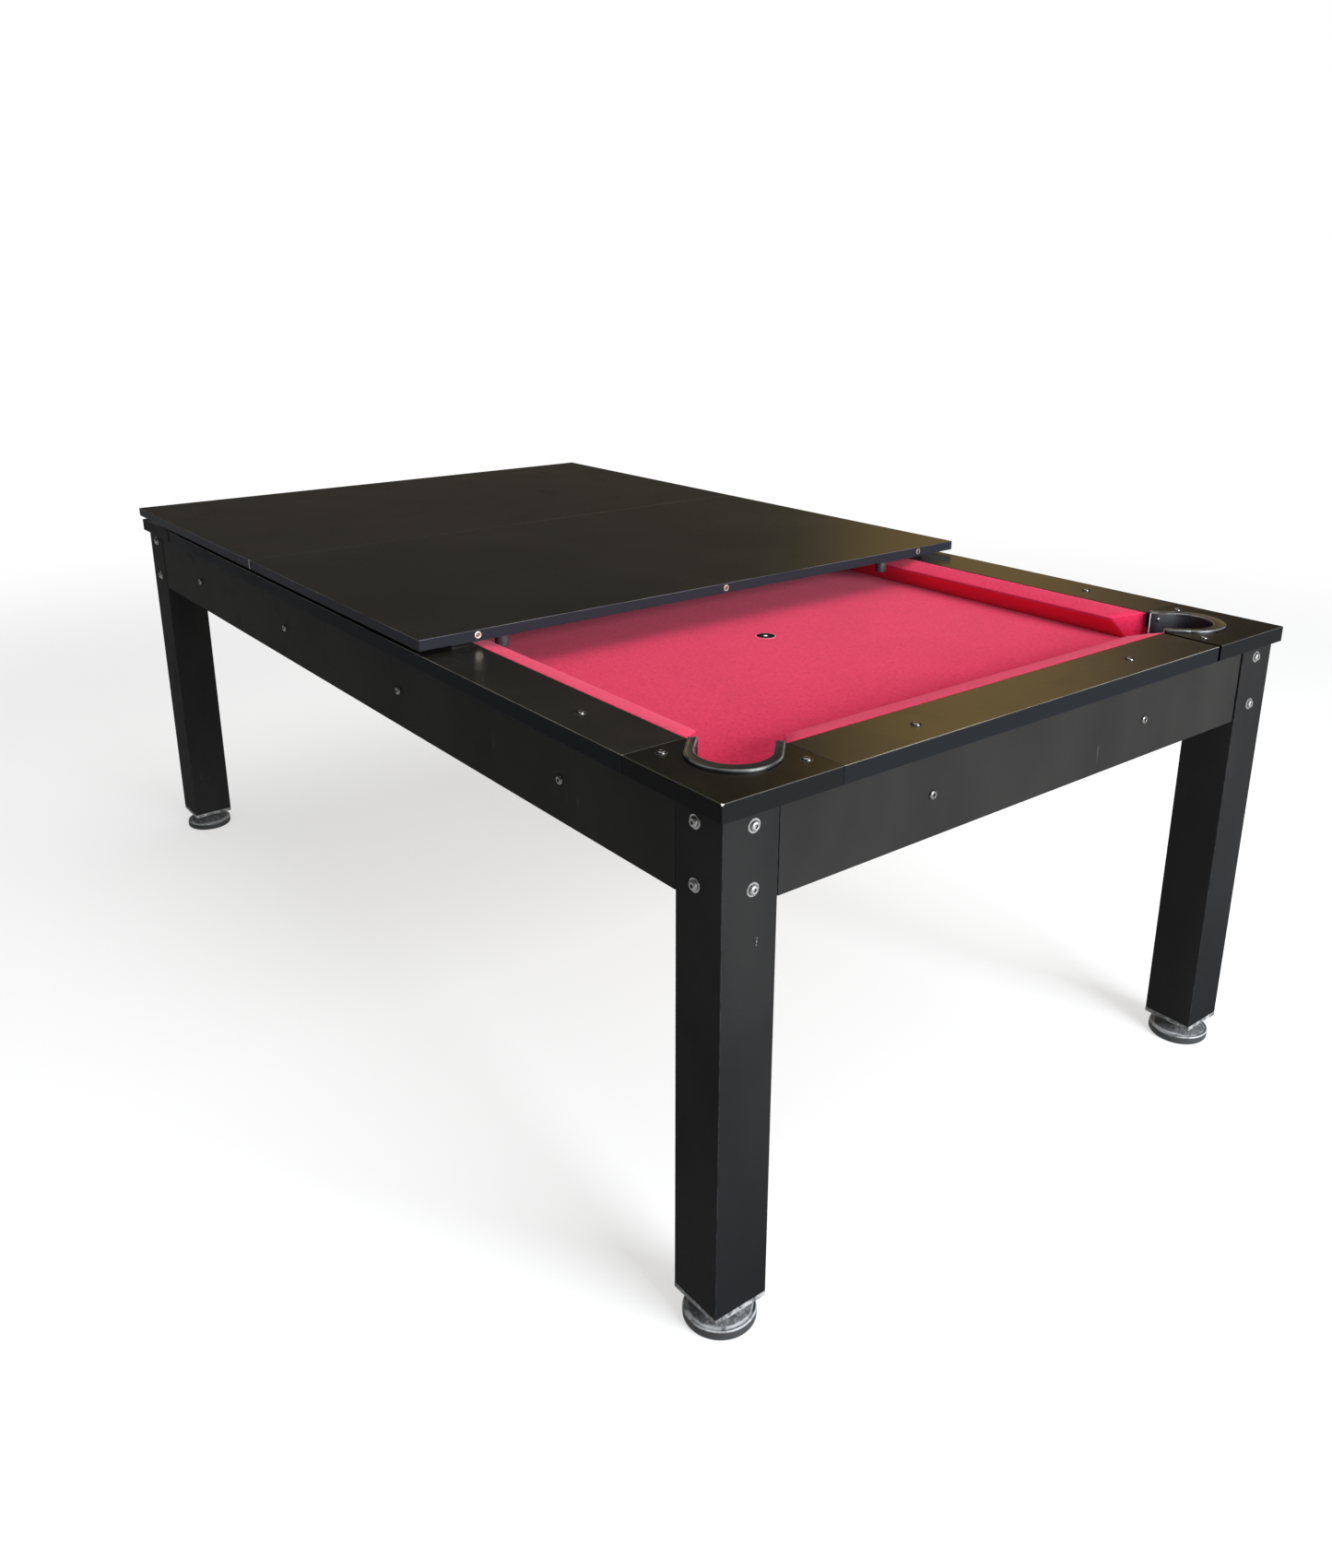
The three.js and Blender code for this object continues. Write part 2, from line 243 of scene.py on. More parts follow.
def paintedSteel(name, look, seamAt=None, scratch=None):
    f = Finish(name)
    x, y, z = f.split(f.place)
    peel = f.noise(look["peelSize"])
    cloud = f.noise(look["cloudSize"], detail=4, stretch=(1, 1, 0.5))
    smudge = f.noise(look["smudgeSize"], detail=6, rough=0.62, twist=0.4).fade(0.53, 0.74)
    scuff = f.noise(look["scuffSize"], detail=3, stretch=(5, 5, 0.35)).fade(0.70, 0.78) * f.noise(0.25).fade(0.5, 0.7)
    dust = f.specks(*look["dust"])
    # Eased edges lighten to the edge colour: partly wear, partly a painted highlight line.
    wearAndHighlight = f.edges() * f.noise(look["wearAndHighlightSize"], detail=4).fade(0.35, 0.62)
    # Painted shade: on the +X half, faces turned to +X darken towards the floor.
    outward = f.split(f.facing)[0].fade(0.2, 0.9) * (x > 0)
    colour = f.mix(cloud.fade(0.3, 0.7), look["colour"], look["faded"])
    colour = f.mix(z.fade(look["shadeLowFrom"], look["shadeLowTo"]) * outward * 0.85, colour, look["low"])
    colour = f.mix(scuff * 0.25 + dust * 0.4, colour, look["scratch"])
    colour = f.mix(wearAndHighlight * 0.6, colour, look["edge"])
    if seamAt is not None:
        seam = abs(y - seamAt).fade(look["seam"], 0.8 * look["seam"]) * (x > 1)
        colour = f.mix(seam, colour, seamShade)
    if scratch is not None:
        start, end = Vector(scratch[0]), Vector(scratch[1])
        run = end - start
        share = f.vector("DOT_PRODUCT", f.vector("SUBTRACT", f.place, start), run / run.length_squared, output=1)
        along = f.node("ShaderNodeVectorMath", {"operation": "SCALE"}, {0: run, "Scale": share.fade(0, 1)})
        away = f.distance(f.place, f.vector("ADD", along, start))
        line = away.fade(look["scratchWidth"], look["scratchWidth"] * 0.36)
        colour = f.mix(line * 0.9, colour, look["scratch"])
    roughness = look["roughness"] + smudge * 0.13 + (cloud - 0.5) * 0.10 - wearAndHighlight * 0.08
    return f.close(colour, roughness, f.bump(peel, look["peel"]), {"Specular IOR Level": look["gloss"], "IOR": matt})


# Black laminate on the rails, corner plates and cover boards. Its sides are a smoother edge band.
railLook = {
    "top": (0.0080, 0.0072, 0.0056),
    "topFaded": (0.0115, 0.0102, 0.0080),
    # band: the edge band's dark colour, its bluish tint a painted reflection of the cool window light
    "band": (0.0082, 0.0092, 0.0108),
    # edge: worn laminate on the outer top edges and partly a painted highlight line
    "edge": (0.14, 0.13, 0.11),
    "chip": (0.80, 0.80, 0.78),
    "chipSize": 3.4 * mm,
    "roughness": 0.26,
    "bandRoughness": 0.50,
    "gloss": 0.26,
    "bandGloss": 0.07,
    "grain": 0.008 * mm,
    "poreSize": 0.9 * mm,
    "cloudSize": 0.30,
    "smearSize": 0.12,
    "wearAndHighlightSize": 0.10,
    "outerEdgesPast": (1.142, 0.647),
    "dust": (0.06, 0.7 * mm, 0.15),
    "dustTint": (0.30, 0.30, 0.28),
    "openSeam": 4.5 * mm,
    "seam": 3.8 * mm,
    "seamTint": seamShade,
    "seamOnTop": 0.0,
}
plateLook = dict(
    railLook,
    top=(0.0034, 0.0029, 0.0021),
    topFaded=(0.0048, 0.0041, 0.0030),
    band=(0.0076, 0.0077, 0.0079),
    edge=(0.055, 0.053, 0.048),
    gloss=0.20,
)
coverLook = dict(
    railLook,
    top=(0.0085, 0.0078, 0.0064),
    topFaded=(0.0115, 0.0105, 0.0085),
    # the cover's bluish band is partly a painted reflection of the cool window light
    band=(0.0155, 0.0160, 0.0205),
    edge=(0.085, 0.085, 0.095),
    roughness=0.24,
    bandRoughness=0.45,
    bandGloss=0.10,
    grain=0.006 * mm,
    outerEdgesPast=(0.380, 0.652),
    seam=2.4 * mm,
    seamTint=(0.32, 0.32, 0.32),
    seamOnTop=0.04,
)


def laminate(name, look, seamAt, chipAt=None, openAt=None):
    f = Finish(name)
    pores = f.noise(look["poreSize"])
    cloud = f.noise(look["cloudSize"], detail=3)
    smear = f.noise(look["smearSize"], detail=4, rough=0.55, twist=0.2).fade(0.45, 0.75)
    x, y, _ = f.split(f.place)
    outer = f.maths("MAXIMUM", x > look["outerEdgesPast"][0], abs(y) > look["outerEdgesPast"][1])
    # Outer top edges lighten to the edge colour: partly wear, partly a painted highlight line.
    wornAndHighlit = f.shoulder((0.05, 0.4), (0.995, 0.9)) * outer * f.noise(look["wearAndHighlightSize"], detail=3).fade(0.15, 0.60)
    top = f.mix(cloud.fade(0.35, 0.7), look["top"], look["topFaded"])
    flatness = abs(f.split(f.facing)[2]).fade(0.6, 0.95)
    colour = f.mix(flatness, look["band"], top)
    colour = f.mix(f.specks(*look["dust"]) * 0.35, colour, look["dustTint"])
    colour = f.mix(wornAndHighlit, colour, look["edge"])
    if chipAt is not None:
        away = f.distance(f.place, chipAt) + (f.noise(3 * mm) - 0.5) * 0.004
        colour = f.mix(away.fade(look["chipSize"], 0.5 * look["chipSize"]), colour, look["chip"])
    onSide = (abs(y) > look["outerEdgesPast"][1]) * (1 - flatness)
    gap = abs(x - seamAt).fade(look["seam"], 0.5 * look["seam"]) * (onSide + flatness * look["seamOnTop"])
    colour = f.mix(gap, colour, look["seamTint"])
    if openAt is not None:
        opening = abs(y - openAt).fade(look["openSeam"], 0.75 * look["openSeam"]) * (x > 0)
        colour = f.mix(opening, colour, seamShade)
        flatness = flatness * (1 - opening)
        gap = gap + opening
    normal = f.bump(pores, look["grain"])
    haze = smear * 0.05 + (cloud - 0.5) * 0.06 - f.edges() * 0.06
    flat = f.principled(colour, haze + look["roughness"], normal, {"Specular IOR Level": look["gloss"]})
    rough = haze + gap * 0.5 + look["bandRoughness"]
    band = f.principled(colour, rough, normal, {"Specular IOR Level": look["bandGloss"], "IOR": matt})
    return f.output(f.node("ShaderNodeMixShader", None, {0: flatness, 1: band, 2: flat}))


# Worsted cloth on the bed and cushions.
clothLook = {
    "colour": (0.45, 0.0120, 0.052),
    "deep": (0.33, 0.0060, 0.033),
    "thread": (0.56, 0.028, 0.085),
    "threadSize": 0.8 * mm,
    # under: painted light, a brighter red given to the cushions' downward faces
    "under": (0.80, 0.0080, 0.050),
    "lint": (0.80, 0.42, 0.45),
    "lintSpecks": (0.055, 1.1 * mm, 0.20),
    "napSize": 5.5 * mm,
    "cloudSize": 0.16,
    "weave": 0.16 * mm,
    "slack": 0.5 * mm,
    "slackSize": 0.035,
    "sheen": 0.15,
    "sheenTint": (1.0, 0.45, 0.55),
}


def redCloth(name, look, onCushion=False):
    f = Finish(name)
    across = f.noise(look["threadSize"], stretch=(0.5, 1.6, 1.6))
    along = f.noise(look["threadSize"], stretch=(1.6, 0.5, 1.6))
    weave = f.maths("MAXIMUM", across, along)
    nap = f.noise(look["napSize"], detail=4, rough=0.75)
    cloud = f.noise(look["cloudSize"], detail=4, twist=0.5)
    lint = f.specks(*look["lintSpecks"]) * f.noise(0.4 * mm).fade(0.3, 0.6)
    colour = f.mix(cloud.fade(0.3, 0.75) * 0.3, look["colour"], look["deep"])
    colour = f.mix(weave.fade(0.5, 0.75) * 0.5 + nap.fade(0.5, 0.70) * 0.5, colour, look["thread"])
    colour = f.mix(nap.fade(0.50, 0.32), colour, look["deep"])
    colour = f.mix(lint * 0.7, colour, look["lint"])
    normal = f.bump(weave, look["weave"])
    if onCushion:
        # Painted highlight: the rounded edges of the cushion's top take the paler thread colour.
        colour = f.mix(f.shoulder((0.35, 0.6), (0.96, 0.86)) * 0.7, colour, look["thread"])
        # Painted light: the cushion's downward faces are brightened towards the under colour.
        colour = f.mix(f.split(f.facing)[2].fade(-0.05, -0.45) * 0.8, colour, look["under"])
        normal = f.bump(f.noise(look["slackSize"], detail=3, stretch=(0.6, 0.6, 1)), look["slack"], under=normal)
    return f.close(colour, 0.88 + nap * 0.1, normal, {
        "Specular IOR Level": 0.15,
        "Sheen Weight": look["sheen"],
        "Sheen Roughness": 0.45,
        "Sheen Tint": look["sheenTint"],
    })


# Black rubber of the pockets, and the dusty rubber of the feet.
pocketLook = {
    "colour": (0.0080, 0.0080, 0.0085),
    "rubbed": (0.016, 0.016, 0.017),
    # bead: the rim's bead and inner edge lighter, partly wear and partly a painted highlight
    "bead": (0.09, 0.09, 0.089),
    # inside: a bluish painted reflection near the rim; deep: the painted shade it darkens to further down
    "inside": (0.0040, 0.0046, 0.0085),
    "deep": (0.0012, 0.0012, 0.0014),
    "shadeDeepFrom": 12 * mm,  # below the rail's top
    "shadeDeepTo": 45 * mm,
    "grainSize": 0.7 * mm,
    "smearSize": 0.028,
    "beadHighlightAndWear": 0.03,
    "dust": (0.020, 0.5 * mm, 0.15),
    "dustTint": (0.20, 0.20, 0.20),
    "roughness": 0.30,
    "gloss": 0.45,
}
footLook = {
    "colour": (0.018, 0.019, 0.020),
    "dust": (0.17, 0.175, 0.18),
    # rim: the lighter brim line, partly wear and partly a painted highlight
    "rim": (0.30, 0.31, 0.32),
    "rimHighlightAndWear": 0.018,
    "crumpleSize": 0.011,
    "fineSize": 2.2 * mm,
    "wrinkle": 0.9 * mm,
    "roughness": 0.62,
}


def pocketRubber(look):
    f = Finish("pocketRubber")
    grain = f.noise(look["grainSize"])
    smear = f.noise(look["smearSize"], detail=4).fade(0.45, 0.75)
    depth = railTop - f.split(f.place)[2]
    inside = depth.fade(-1 * mm, 3 * mm)
    bead = f.shoulder((0.10, 0.45), (0.99, 0.90)) * (1 - inside)
    # Painted shade inside the cup: from a bluish painted reflection near the rim to dark with depth.
    below = f.mix(depth.fade(look["shadeDeepFrom"], look["shadeDeepTo"]), look["inside"], look["deep"])
    colour = f.mix(smear * 0.5, look["colour"], look["rubbed"])
    colour = f.mix(inside, colour, below)
    colour = f.mix(f.specks(*look["dust"]) * 0.3, colour, look["dustTint"])
    # The bead lightens: partly wear, partly a painted highlight line.
    colour = f.mix(bead * f.noise(look["beadHighlightAndWear"], detail=3).fade(0.25, 0.55), colour, look["bead"])
    roughness = look["roughness"] + smear * 0.10 + inside * 0.25
    return f.close(colour, roughness, f.bump(grain, 0.008 * mm), {"Specular IOR Level": look["gloss"]})


def footRubber(look, crest):
    f = Finish("footRubber")
    crumple = f.noise(look["crumpleSize"], detail=6, rough=0.68, twist=1.6)
    fine = f.noise(look["fineSize"], detail=3)
    lift = f.split(f.place)[2]
    dusty = crumple.fade(0.30, 0.72) * f.split(f.facing)[2].fade(0.2, 0.75)
    # The brim lightens: partly wear, partly a painted highlight line.
    brim = lift.fade(crest - 2.6 * mm, crest - 0.8 * mm) * lift.fade(crest + 1.2 * mm, crest - 0.2 * mm)
    colour = f.mix(dusty * 0.85, look["colour"], look["dust"])
    colour = f.mix(brim * f.noise(look["rimHighlightAndWear"], detail=3).fade(0.30, 0.50), colour, look["rim"])
    roughness = look["roughness"] - brim * 0.25 + crumple * 0.15
    normal = f.bump(crumple, look["wrinkle"], under=f.bump(fine, 0.12 * mm))
    return f.close(colour, roughness, normal, {"Specular IOR Level": 0.4})


# Plated steel: bright on the studs and nuts, duller on the bolts, dark on the screws.
metalLook = {
    "bright": {"colour": (0.50, 0.50, 0.48), "dull": (0.22, 0.22, 0.21), "roughness": 0.27},
    "bolt": {"colour": (0.27, 0.27, 0.265), "dull": (0.16, 0.16, 0.157), "roughness": 0.46},
    "dark": {"colour": (0.16, 0.155, 0.15), "dull": (0.06, 0.057, 0.055), "roughness": 0.30},
    "brass": {"colour": (0.60, 0.52, 0.38), "dull": (0.34, 0.28, 0.19), "roughness": 0.34},
    "black": {"colour": (0.15, 0.145, 0.14), "dull": (0.05, 0.048, 0.046), "roughness": 0.20},
}
stainSize, brushSize = 3.0 * mm, 0.5 * mm


def platedSteel(name, look):
    f = Finish(name)
    stain = f.noise(stainSize, detail=5, rough=0.65).fade(0.38, 0.70)
    brushed = f.noise(brushSize, stretch=(1, 1, 3))
    colour = f.mix(stain * 0.6, look["colour"], look["dull"])
    return f.close(colour, look["roughness"] + stain * 0.20, f.bump(brushed, 0.02 * mm), {"Metallic": 1.0})


# Moulded plastic: leg end caps, the cover feet and screw seats, and the strips on the pockets' ends.
plasticLook = {
    # scuff on edges and on faces turned to +X is partly a painted highlight from the window side
    "cap": {"colour": (0.030, 0.031, 0.032), "scuff": (0.34, 0.35, 0.35), "scuffed": 0.6, "roughness": 0.42},
    "seat": {"colour": (0.012, 0.012, 0.013), "scuff": (0.20, 0.20, 0.20), "scuffed": 0.1, "roughness": 0.45},
    "strip": {"colour": (0.46, 0.40, 0.38), "scuff": (0.62, 0.58, 0.56), "scuffed": 0.3, "roughness": 0.50},
}
mouldSize, rubSize, sideHighlightAndRubSize = 0.6 * mm, 0.010, 0.016


def mouldedPlastic(name, look):
    f = Finish(name)
    grain = f.noise(mouldSize)
    rub = f.noise(rubSize, detail=5, rough=0.65, twist=0.6).fade(0.48, 0.70)
    # Faces turned to +X and the edges take the scuff colour: partly scuffs, partly a painted highlight.
    side = f.split(f.facing)[0].fade(0.5, 0.9) * f.noise(sideHighlightAndRubSize, detail=4).fade(0.38, 0.58)
    colour = f.mix(rub * look["scuffed"], look["colour"], look["scuff"])
    colour = f.mix(f.edges() * 0.5 * look["scuffed"], colour, look["scuff"])
    colour = f.mix(side * look["scuffed"], colour, look["scuff"])
    return f.close(colour, look["roughness"] + rub * 0.15, f.bump(grain, 0.04 * mm), {"Specular IOR Level": 0.4})


# Bare boards under the cloth, and the timber that carries them.
timberLook = {
    "pale": (0.52, 0.36, 0.20),
    "dark": (0.28, 0.16, 0.075),
    "knot": (0.13, 0.065, 0.03),
    "knots": (0.22, 0.014, 0.5),
    "ringSize": 0.016,
    "fibreSize": 1.4 * mm,
}
boardLook = {"pale": (0.40, 0.29, 0.18), "dark": (0.24, 0.16, 0.09), "flakeSize": 2.5 * mm, "cloudSize": 0.12}


def bearerTimber(look):
    f = Finish("bearerTimber")
    rings = f.noise(look["ringSize"], detail=4, stretch=(1, 0.06, 1), twist=0.6)
    fibres = f.noise(look["fibreSize"], detail=3, stretch=(1, 0.03, 1))
    colour = f.mix(rings.fade(0.35, 0.65), look["pale"], look["dark"])
    colour = f.mix(fibres.fade(0.4, 0.7) * 0.35, colour, look["dark"])
    colour = f.mix(f.specks(*look["knots"]) * 0.8, colour, look["knot"])
    return f.close(colour, 0.70 + fibres * 0.15, f.bump(fibres, 0.15 * mm), {"Specular IOR Level": 0.3})


def fibreboard(look):
    f = Finish("fibreboard")
    flakes = f.noise(look["flakeSize"], detail=5, rough=0.7)
    cloud = f.noise(look["cloudSize"], detail=3)
    colour = f.mix(flakes.fade(0.38, 0.66), look["pale"], look["dark"])
    colour = f.mix(cloud.fade(0.4, 0.7) * 0.3, colour, look["dark"])
    return f.close(colour, 0.82 + flakes * 0.1, f.bump(flakes, 0.12 * mm), {"Specular IOR Level": 0.2})


# The foot spot: a dark paper disc with a worn white middle.
spotLook = {
    "place": (0.499, -0.002),
    "radius": 19 * mm,
    "thick": 0.3 * mm,
    "paper": (0.006, 0.005, 0.006),
    "grime": (0.16, 0.14, 0.14),
    "grimeSize": 4 * mm,
    "middle": (0.85, 0.80, 0.80),
    "middleShare": (0.26, 0.12),
    "rim": (0.80, 0.24, 0.32),
    "rimShare": (0.91, 0.97),
}


def spotPaper(look):
    f = Finish("spotPaper")
    radius = look["radius"]
    away = f.distance(f.place, (*look["place"], clothTop))
    grime = f.noise(look["grimeSize"], detail=5, rough=0.7, twist=0.8)
    middle = away.fade(*(radius * share for share in look["middleShare"])) * grime.fade(0.25, 0.5)
    colour = f.mix(grime.fade(0.55, 0.68) * 0.5, look["paper"], look["grime"])
    colour = f.mix(middle, colour, look["middle"])
    colour = f.mix(away.fade(*(radius * share for share in look["rimShare"])), colour, look["rim"])
    others = {"Specular IOR Level": 0.1, "IOR": matt}
    return f.close(colour, 0.55 + grime * 0.2, f.bump(grime, 0.08 * mm), others)


plateLow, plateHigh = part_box("corner_plate_front_right")
nearCorner = Vector((plateHigh.x, plateLow.y, plateHigh.z))
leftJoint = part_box("rail_front")[0].x
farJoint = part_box("rail_right")[1].y
legScratch = ((1.134, -0.5790, 0.6280), (1.134, -0.5803, 0.6180))
padCrest = 17 * mm

finishes = {
    "painted": paintedSteel("paintedSteel", paintLook, scratch=legScratch),
    "apron": paintedSteel("apronPaint", apronLook, seamAt=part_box("apron_right")[1].y),
    "rail": laminate("railLaminate", railLook, leftJoint, openAt=farJoint),
    "plate": laminate("plateLaminate", plateLook, leftJoint, chipAt=nearCorner, openAt=farJoint),
    "cover": laminate("coverLaminate", coverLook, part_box("cover_board_middle")[0].x),
    "bedCloth": redCloth("bedCloth", clothLook),
    "cushionCloth": redCloth("cushionCloth", clothLook, onCushion=True),
    "pocket": pocketRubber(pocketLook),
    "foot": footRubber(footLook, padCrest),
    "timber": bearerTimber(timberLook),
    "board": fibreboard(boardLook),
    "spot": spotPaper(spotLook),
}
for name, look in metalLook.items():
    finishes[name] = platedSteel(f"{name}Metal", look)
for name, look in plasticLook.items():
    finishes[name] = mouldedPlastic(f"{name}Plastic", look)
print("stage: finishes made,", len(finishes))

# CAD parts that stay: finish and how far their edges are eased, in millimetres.
keptParts = [
    (("leg_front", "leg_back"), "painted", 1.3),
    (("apron_",), "apron", 0.5),
    (("corner_bracket_",), "painted", 0.5),
    (("rail_",), "rail", 0.8),
    (("corner_plate_",), "plate", 0.8),
    (("cover_board_",), "cover", 0.7),
    (("leg_cap_",), "cap", 0.8),
    (("bearer_",), "timber", 1.5),
    (("bed",), "board", 0.6),
]
easing = {"weld": 0.01 * mm, "flatUnder": 0.5, "bevelOver": 30, "segments": 2}  # angles in degrees


def easeEdges(part, width, look):
    weld = part.modifiers.new("weld", "WELD")
    weld.merge_threshold = look["weld"]
    flatten = part.modifiers.new("flatten", "DECIMATE")
    flatten.decimate_type = "DISSOLVE"
    flatten.angle_limit = math.radians(look["flatUnder"])
    bevel = part.modifiers.new("easedEdge", "BEVEL")
    bevel.width = width * mm
    bevel.segments = look["segments"]
    bevel.limit_method = "ANGLE"
    bevel.angle_limit = math.radians(look["bevelOver"])


for name, part in parts.items():
    for starts, finish, width in keptParts:
        if name.startswith(starts):
            for slot in part.material_slots:
                slot.material = finishes[finish]
            easeEdges(part, width, easing)
            break
print("stage: CAD parts dressed")


# Points and faces gathered ring by ring, then made into one piece.
class Shape:
    def __init__(self):
        self.points = []
        self.faces = []

    def ring(self, points):
        first = len(self.points)
        self.points.extend(points)
        return list(range(first, len(self.points)))

    def skin(self, rings, start=True, end=True):
        made = [self.ring(points) for points in rings]
        for low, high in zip(made, made[1:]):
            self.join(low, high)
        for wanted, ring in ((start, made[0]), (end, made[-1])):
            if wanted and len(ring) > 2:
                self.faces.append(tuple(ring))

    def join(self, low, high):
        count = max(len(low), len(high))
        for i in range(count):
            j = (i + 1) % count
            if len(low) == 1:
                self.faces.append((low[0], high[j], high[i]))
            elif len(high) == 1:
                self.faces.append((low[i], low[j], high[0]))
            else:
                self.faces.append((low[i], low[j], high[j], high[i]))

    # A profile of (radius, height) turned round place's Z. A third item makes that ring a hexagon.
    def turn(self, profile, place, steps=36, wander=None):
        rings = []
        for radius, height, *hexagon in profile:
            if radius == 0:
                rings.append([place @ Vector((0, 0, height))])
                continue
            ring = []
            for i in range(steps):
                angle = 2 * math.pi * i / steps
                reach = radius / math.cos(angle % (math.pi / 3) - math.pi / 6) if hexagon else radius
                point = Vector((reach * math.cos(angle), reach * math.sin(angle), height))
                ring.append(place @ (wander(point) if wander else point))
            rings.append(ring)
        self.skin(rings)

    def piece(self, name, finish, slot, body, crease=40, replaces=()):
        mesh = bpy.data.meshes.new(name)
        mesh.from_pydata([tuple(point) for point in self.points], [], self.faces)
        work = bmesh.new()
        work.from_mesh(mesh)
        bmesh.ops.recalc_face_normals(work, faces=work.faces)
        work.to_mesh(mesh)
        work.free()
        mesh.shade_smooth()
        mesh.set_sharp_from_angle(angle=math.radians(crease))
        mesh.materials.append(finishes[finish])
        made = bpy.data.objects.new(name, mesh)
        bpy.context.scene.collection.objects.link(made)
        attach(made, body)
        if replaces:
            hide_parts(*replaces)
        return made


# A place whose Z looks along facing.
def lookingAlong(point, facing):
    return Matrix.Translation(point) @ Vector(facing).to_track_quat("Z", "Y").to_matrix().to_4x4()


def inMetres(profile):  # a profile given in millimetres
    return [(radius * mm, height * mm, *hexagon) for radius, height, *hexagon in profile]


def quarter(steps):  # sine and cosine from 0 to 90 degrees
    angles = [math.pi / 2 * step / steps for step in range(steps + 1)]
    return [(math.sin(angle), math.cos(angle)) for angle in angles]


def rounded(points, steps=4):  # corners of (across, up, radius) as arcs
    made = []
    count = len(points)
    for i, (across, up, radius) in enumerate(points):
        here = Vector((across, up))
        if radius == 0:
            made.append(here)
            continue
        before = (Vector(points[i - 1][:2]) - here).normalized()
        after = (Vector(points[(i + 1) % count][:2]) - here).normalized()
        half = before.angle(after) / 2
        run = radius / math.tan(half)
        centre = here + (before + after).normalized() * radius / math.sin(half)
        first, last = here + before * run - centre, here + after * run - centre
        for step in range(steps + 1):
            made.append(centre + first.slerp(last, step / steps).normalized() * radius)
    return made


def enclosed(points):  # area of a closed outline, negative if it runs clockwise
    return sum(a.x * b.y - b.x * a.y for a, b in zip(points, points[1:] + points[:1])) / 2


def drawnIn(points, distance):  # a closed outline moved inwards
    if not distance:
        return points
    side = 1 if enclosed(points) > 0 else -1
    made = []
    for i, here in enumerate(points):
        along = (points[(i + 1) % len(points)] - points[i - 1]).normalized()
        made.append(here + Vector((-along.y, along.x)) * side * distance)
    return made


clearance = 0.3  # between a piece and what it rests on, in millimetres

# Screws and bolts: button heads with a hexagon socket. Sizes in millimetres.
screwLook = {
    "rail": {"radius": 7.2, "height": 3.4, "socket": 2.4, "depth": 2.3, "seat": 8.8, "steps": 24},
    "apron": {"radius": 7.4, "height": 3.8, "socket": 2.5, "depth": 2.4, "seat": 0, "steps": 24},
    "leg": {"radius": 7.4, "height": 4.4, "socket": 2.6, "depth": 2.8, "seat": 10.4, "steps": 24},
    "foot": {"radius": 4.2, "height": 1.8, "socket": 1.4, "depth": 1.2, "seat": 0, "steps": 18},
}


def buttonHead(shape, look, point, facing, lift=0.0):
    radius, height = look["radius"] * mm, look["height"] * mm
    socket, floor = look["socket"] * mm, (look["height"] - look["depth"]) * mm
    crown, rim = radius * 0.52, 0.22  # flat middle, and the rim's share of the height
    profile = [(0, floor - 0.4 * mm), (socket, floor, "hexagon"), (socket, height - 0.25 * mm, "hexagon")]
    profile += [(socket * 1.22, height), (crown, height)]
    for across, up in quarter(5)[1:]:
        profile.append((crown + (radius - crown) * across, height * (rim + (1 - rim) * up)))
    profile += [(radius, -0.3 * mm), (0, -0.3 * mm)]
    shape.turn(profile, lookingAlong(point + Vector(facing) * lift, facing), look["steps"])


def washer(shape, inner, outer, thick, point, facing, steps=32):
    profile = [(inner, -0.2 * mm), (inner, thick * 0.8), (inner + 0.3 * mm, thick), (outer - 0.6 * mm, thick)]
    profile += [(outer, thick * 0.4), (outer, -0.2 * mm)]
    place = lookingAlong(point, facing)
    angles = [2 * math.pi * i / steps for i in range(steps)]
    made = []
    for radius, height in profile:
        spots = [Vector((radius * math.cos(angle), radius * math.sin(angle), height)) for angle in angles]
        made.append(shape.ring([place @ spot for spot in spots]))
    for low, high in zip(made, made[1:] + made[:1]):
        shape.join(low, high)


# Where the screws stand: along each rail as a share of its half length, up each apron as a share of its
# height, and the rest in millimetres. A leg's bolts are above the apron's lower edge and off the leg's middle.
screwPlaces = {
    "longShares": (-0.819, -0.273, 0.273, 0.819),
    "shortShares": (-0.576, 0.576),
    "railFromEdge": 50,
    "plate": {"near": 46, "far": (179.5, 181)},
    "apronUp": 0.501,
    "leg": {"heights": (24, 111.5), "inwards": (7, 3.5), "bracketWall": 4},
}
nutProfile = [(0, 9), (3.4, 9), (3.9, 8.5), (3.9, 6)]
nutProfile += [(6.2, 6, "hexagon"), (6.5, 5.4, "hexagon"), (6.5, -0.2, "hexagon"), (0, -0.2)]
upward = Vector((0, 0, 1))


def sideOf(side):  # (outward, along) of a side of the table
    outward = {"front": (0, -1, 0), "back": (0, 1, 0), "left": (-1, 0, 0), "right": (1, 0, 0)}[side]
    outward = Vector(outward)
    return outward, Vector((abs(outward.y), abs(outward.x), 0))


def reachOf(box, outward):  # how far out a box reaches
    return max(abs(corner.dot(outward)) for corner in box)


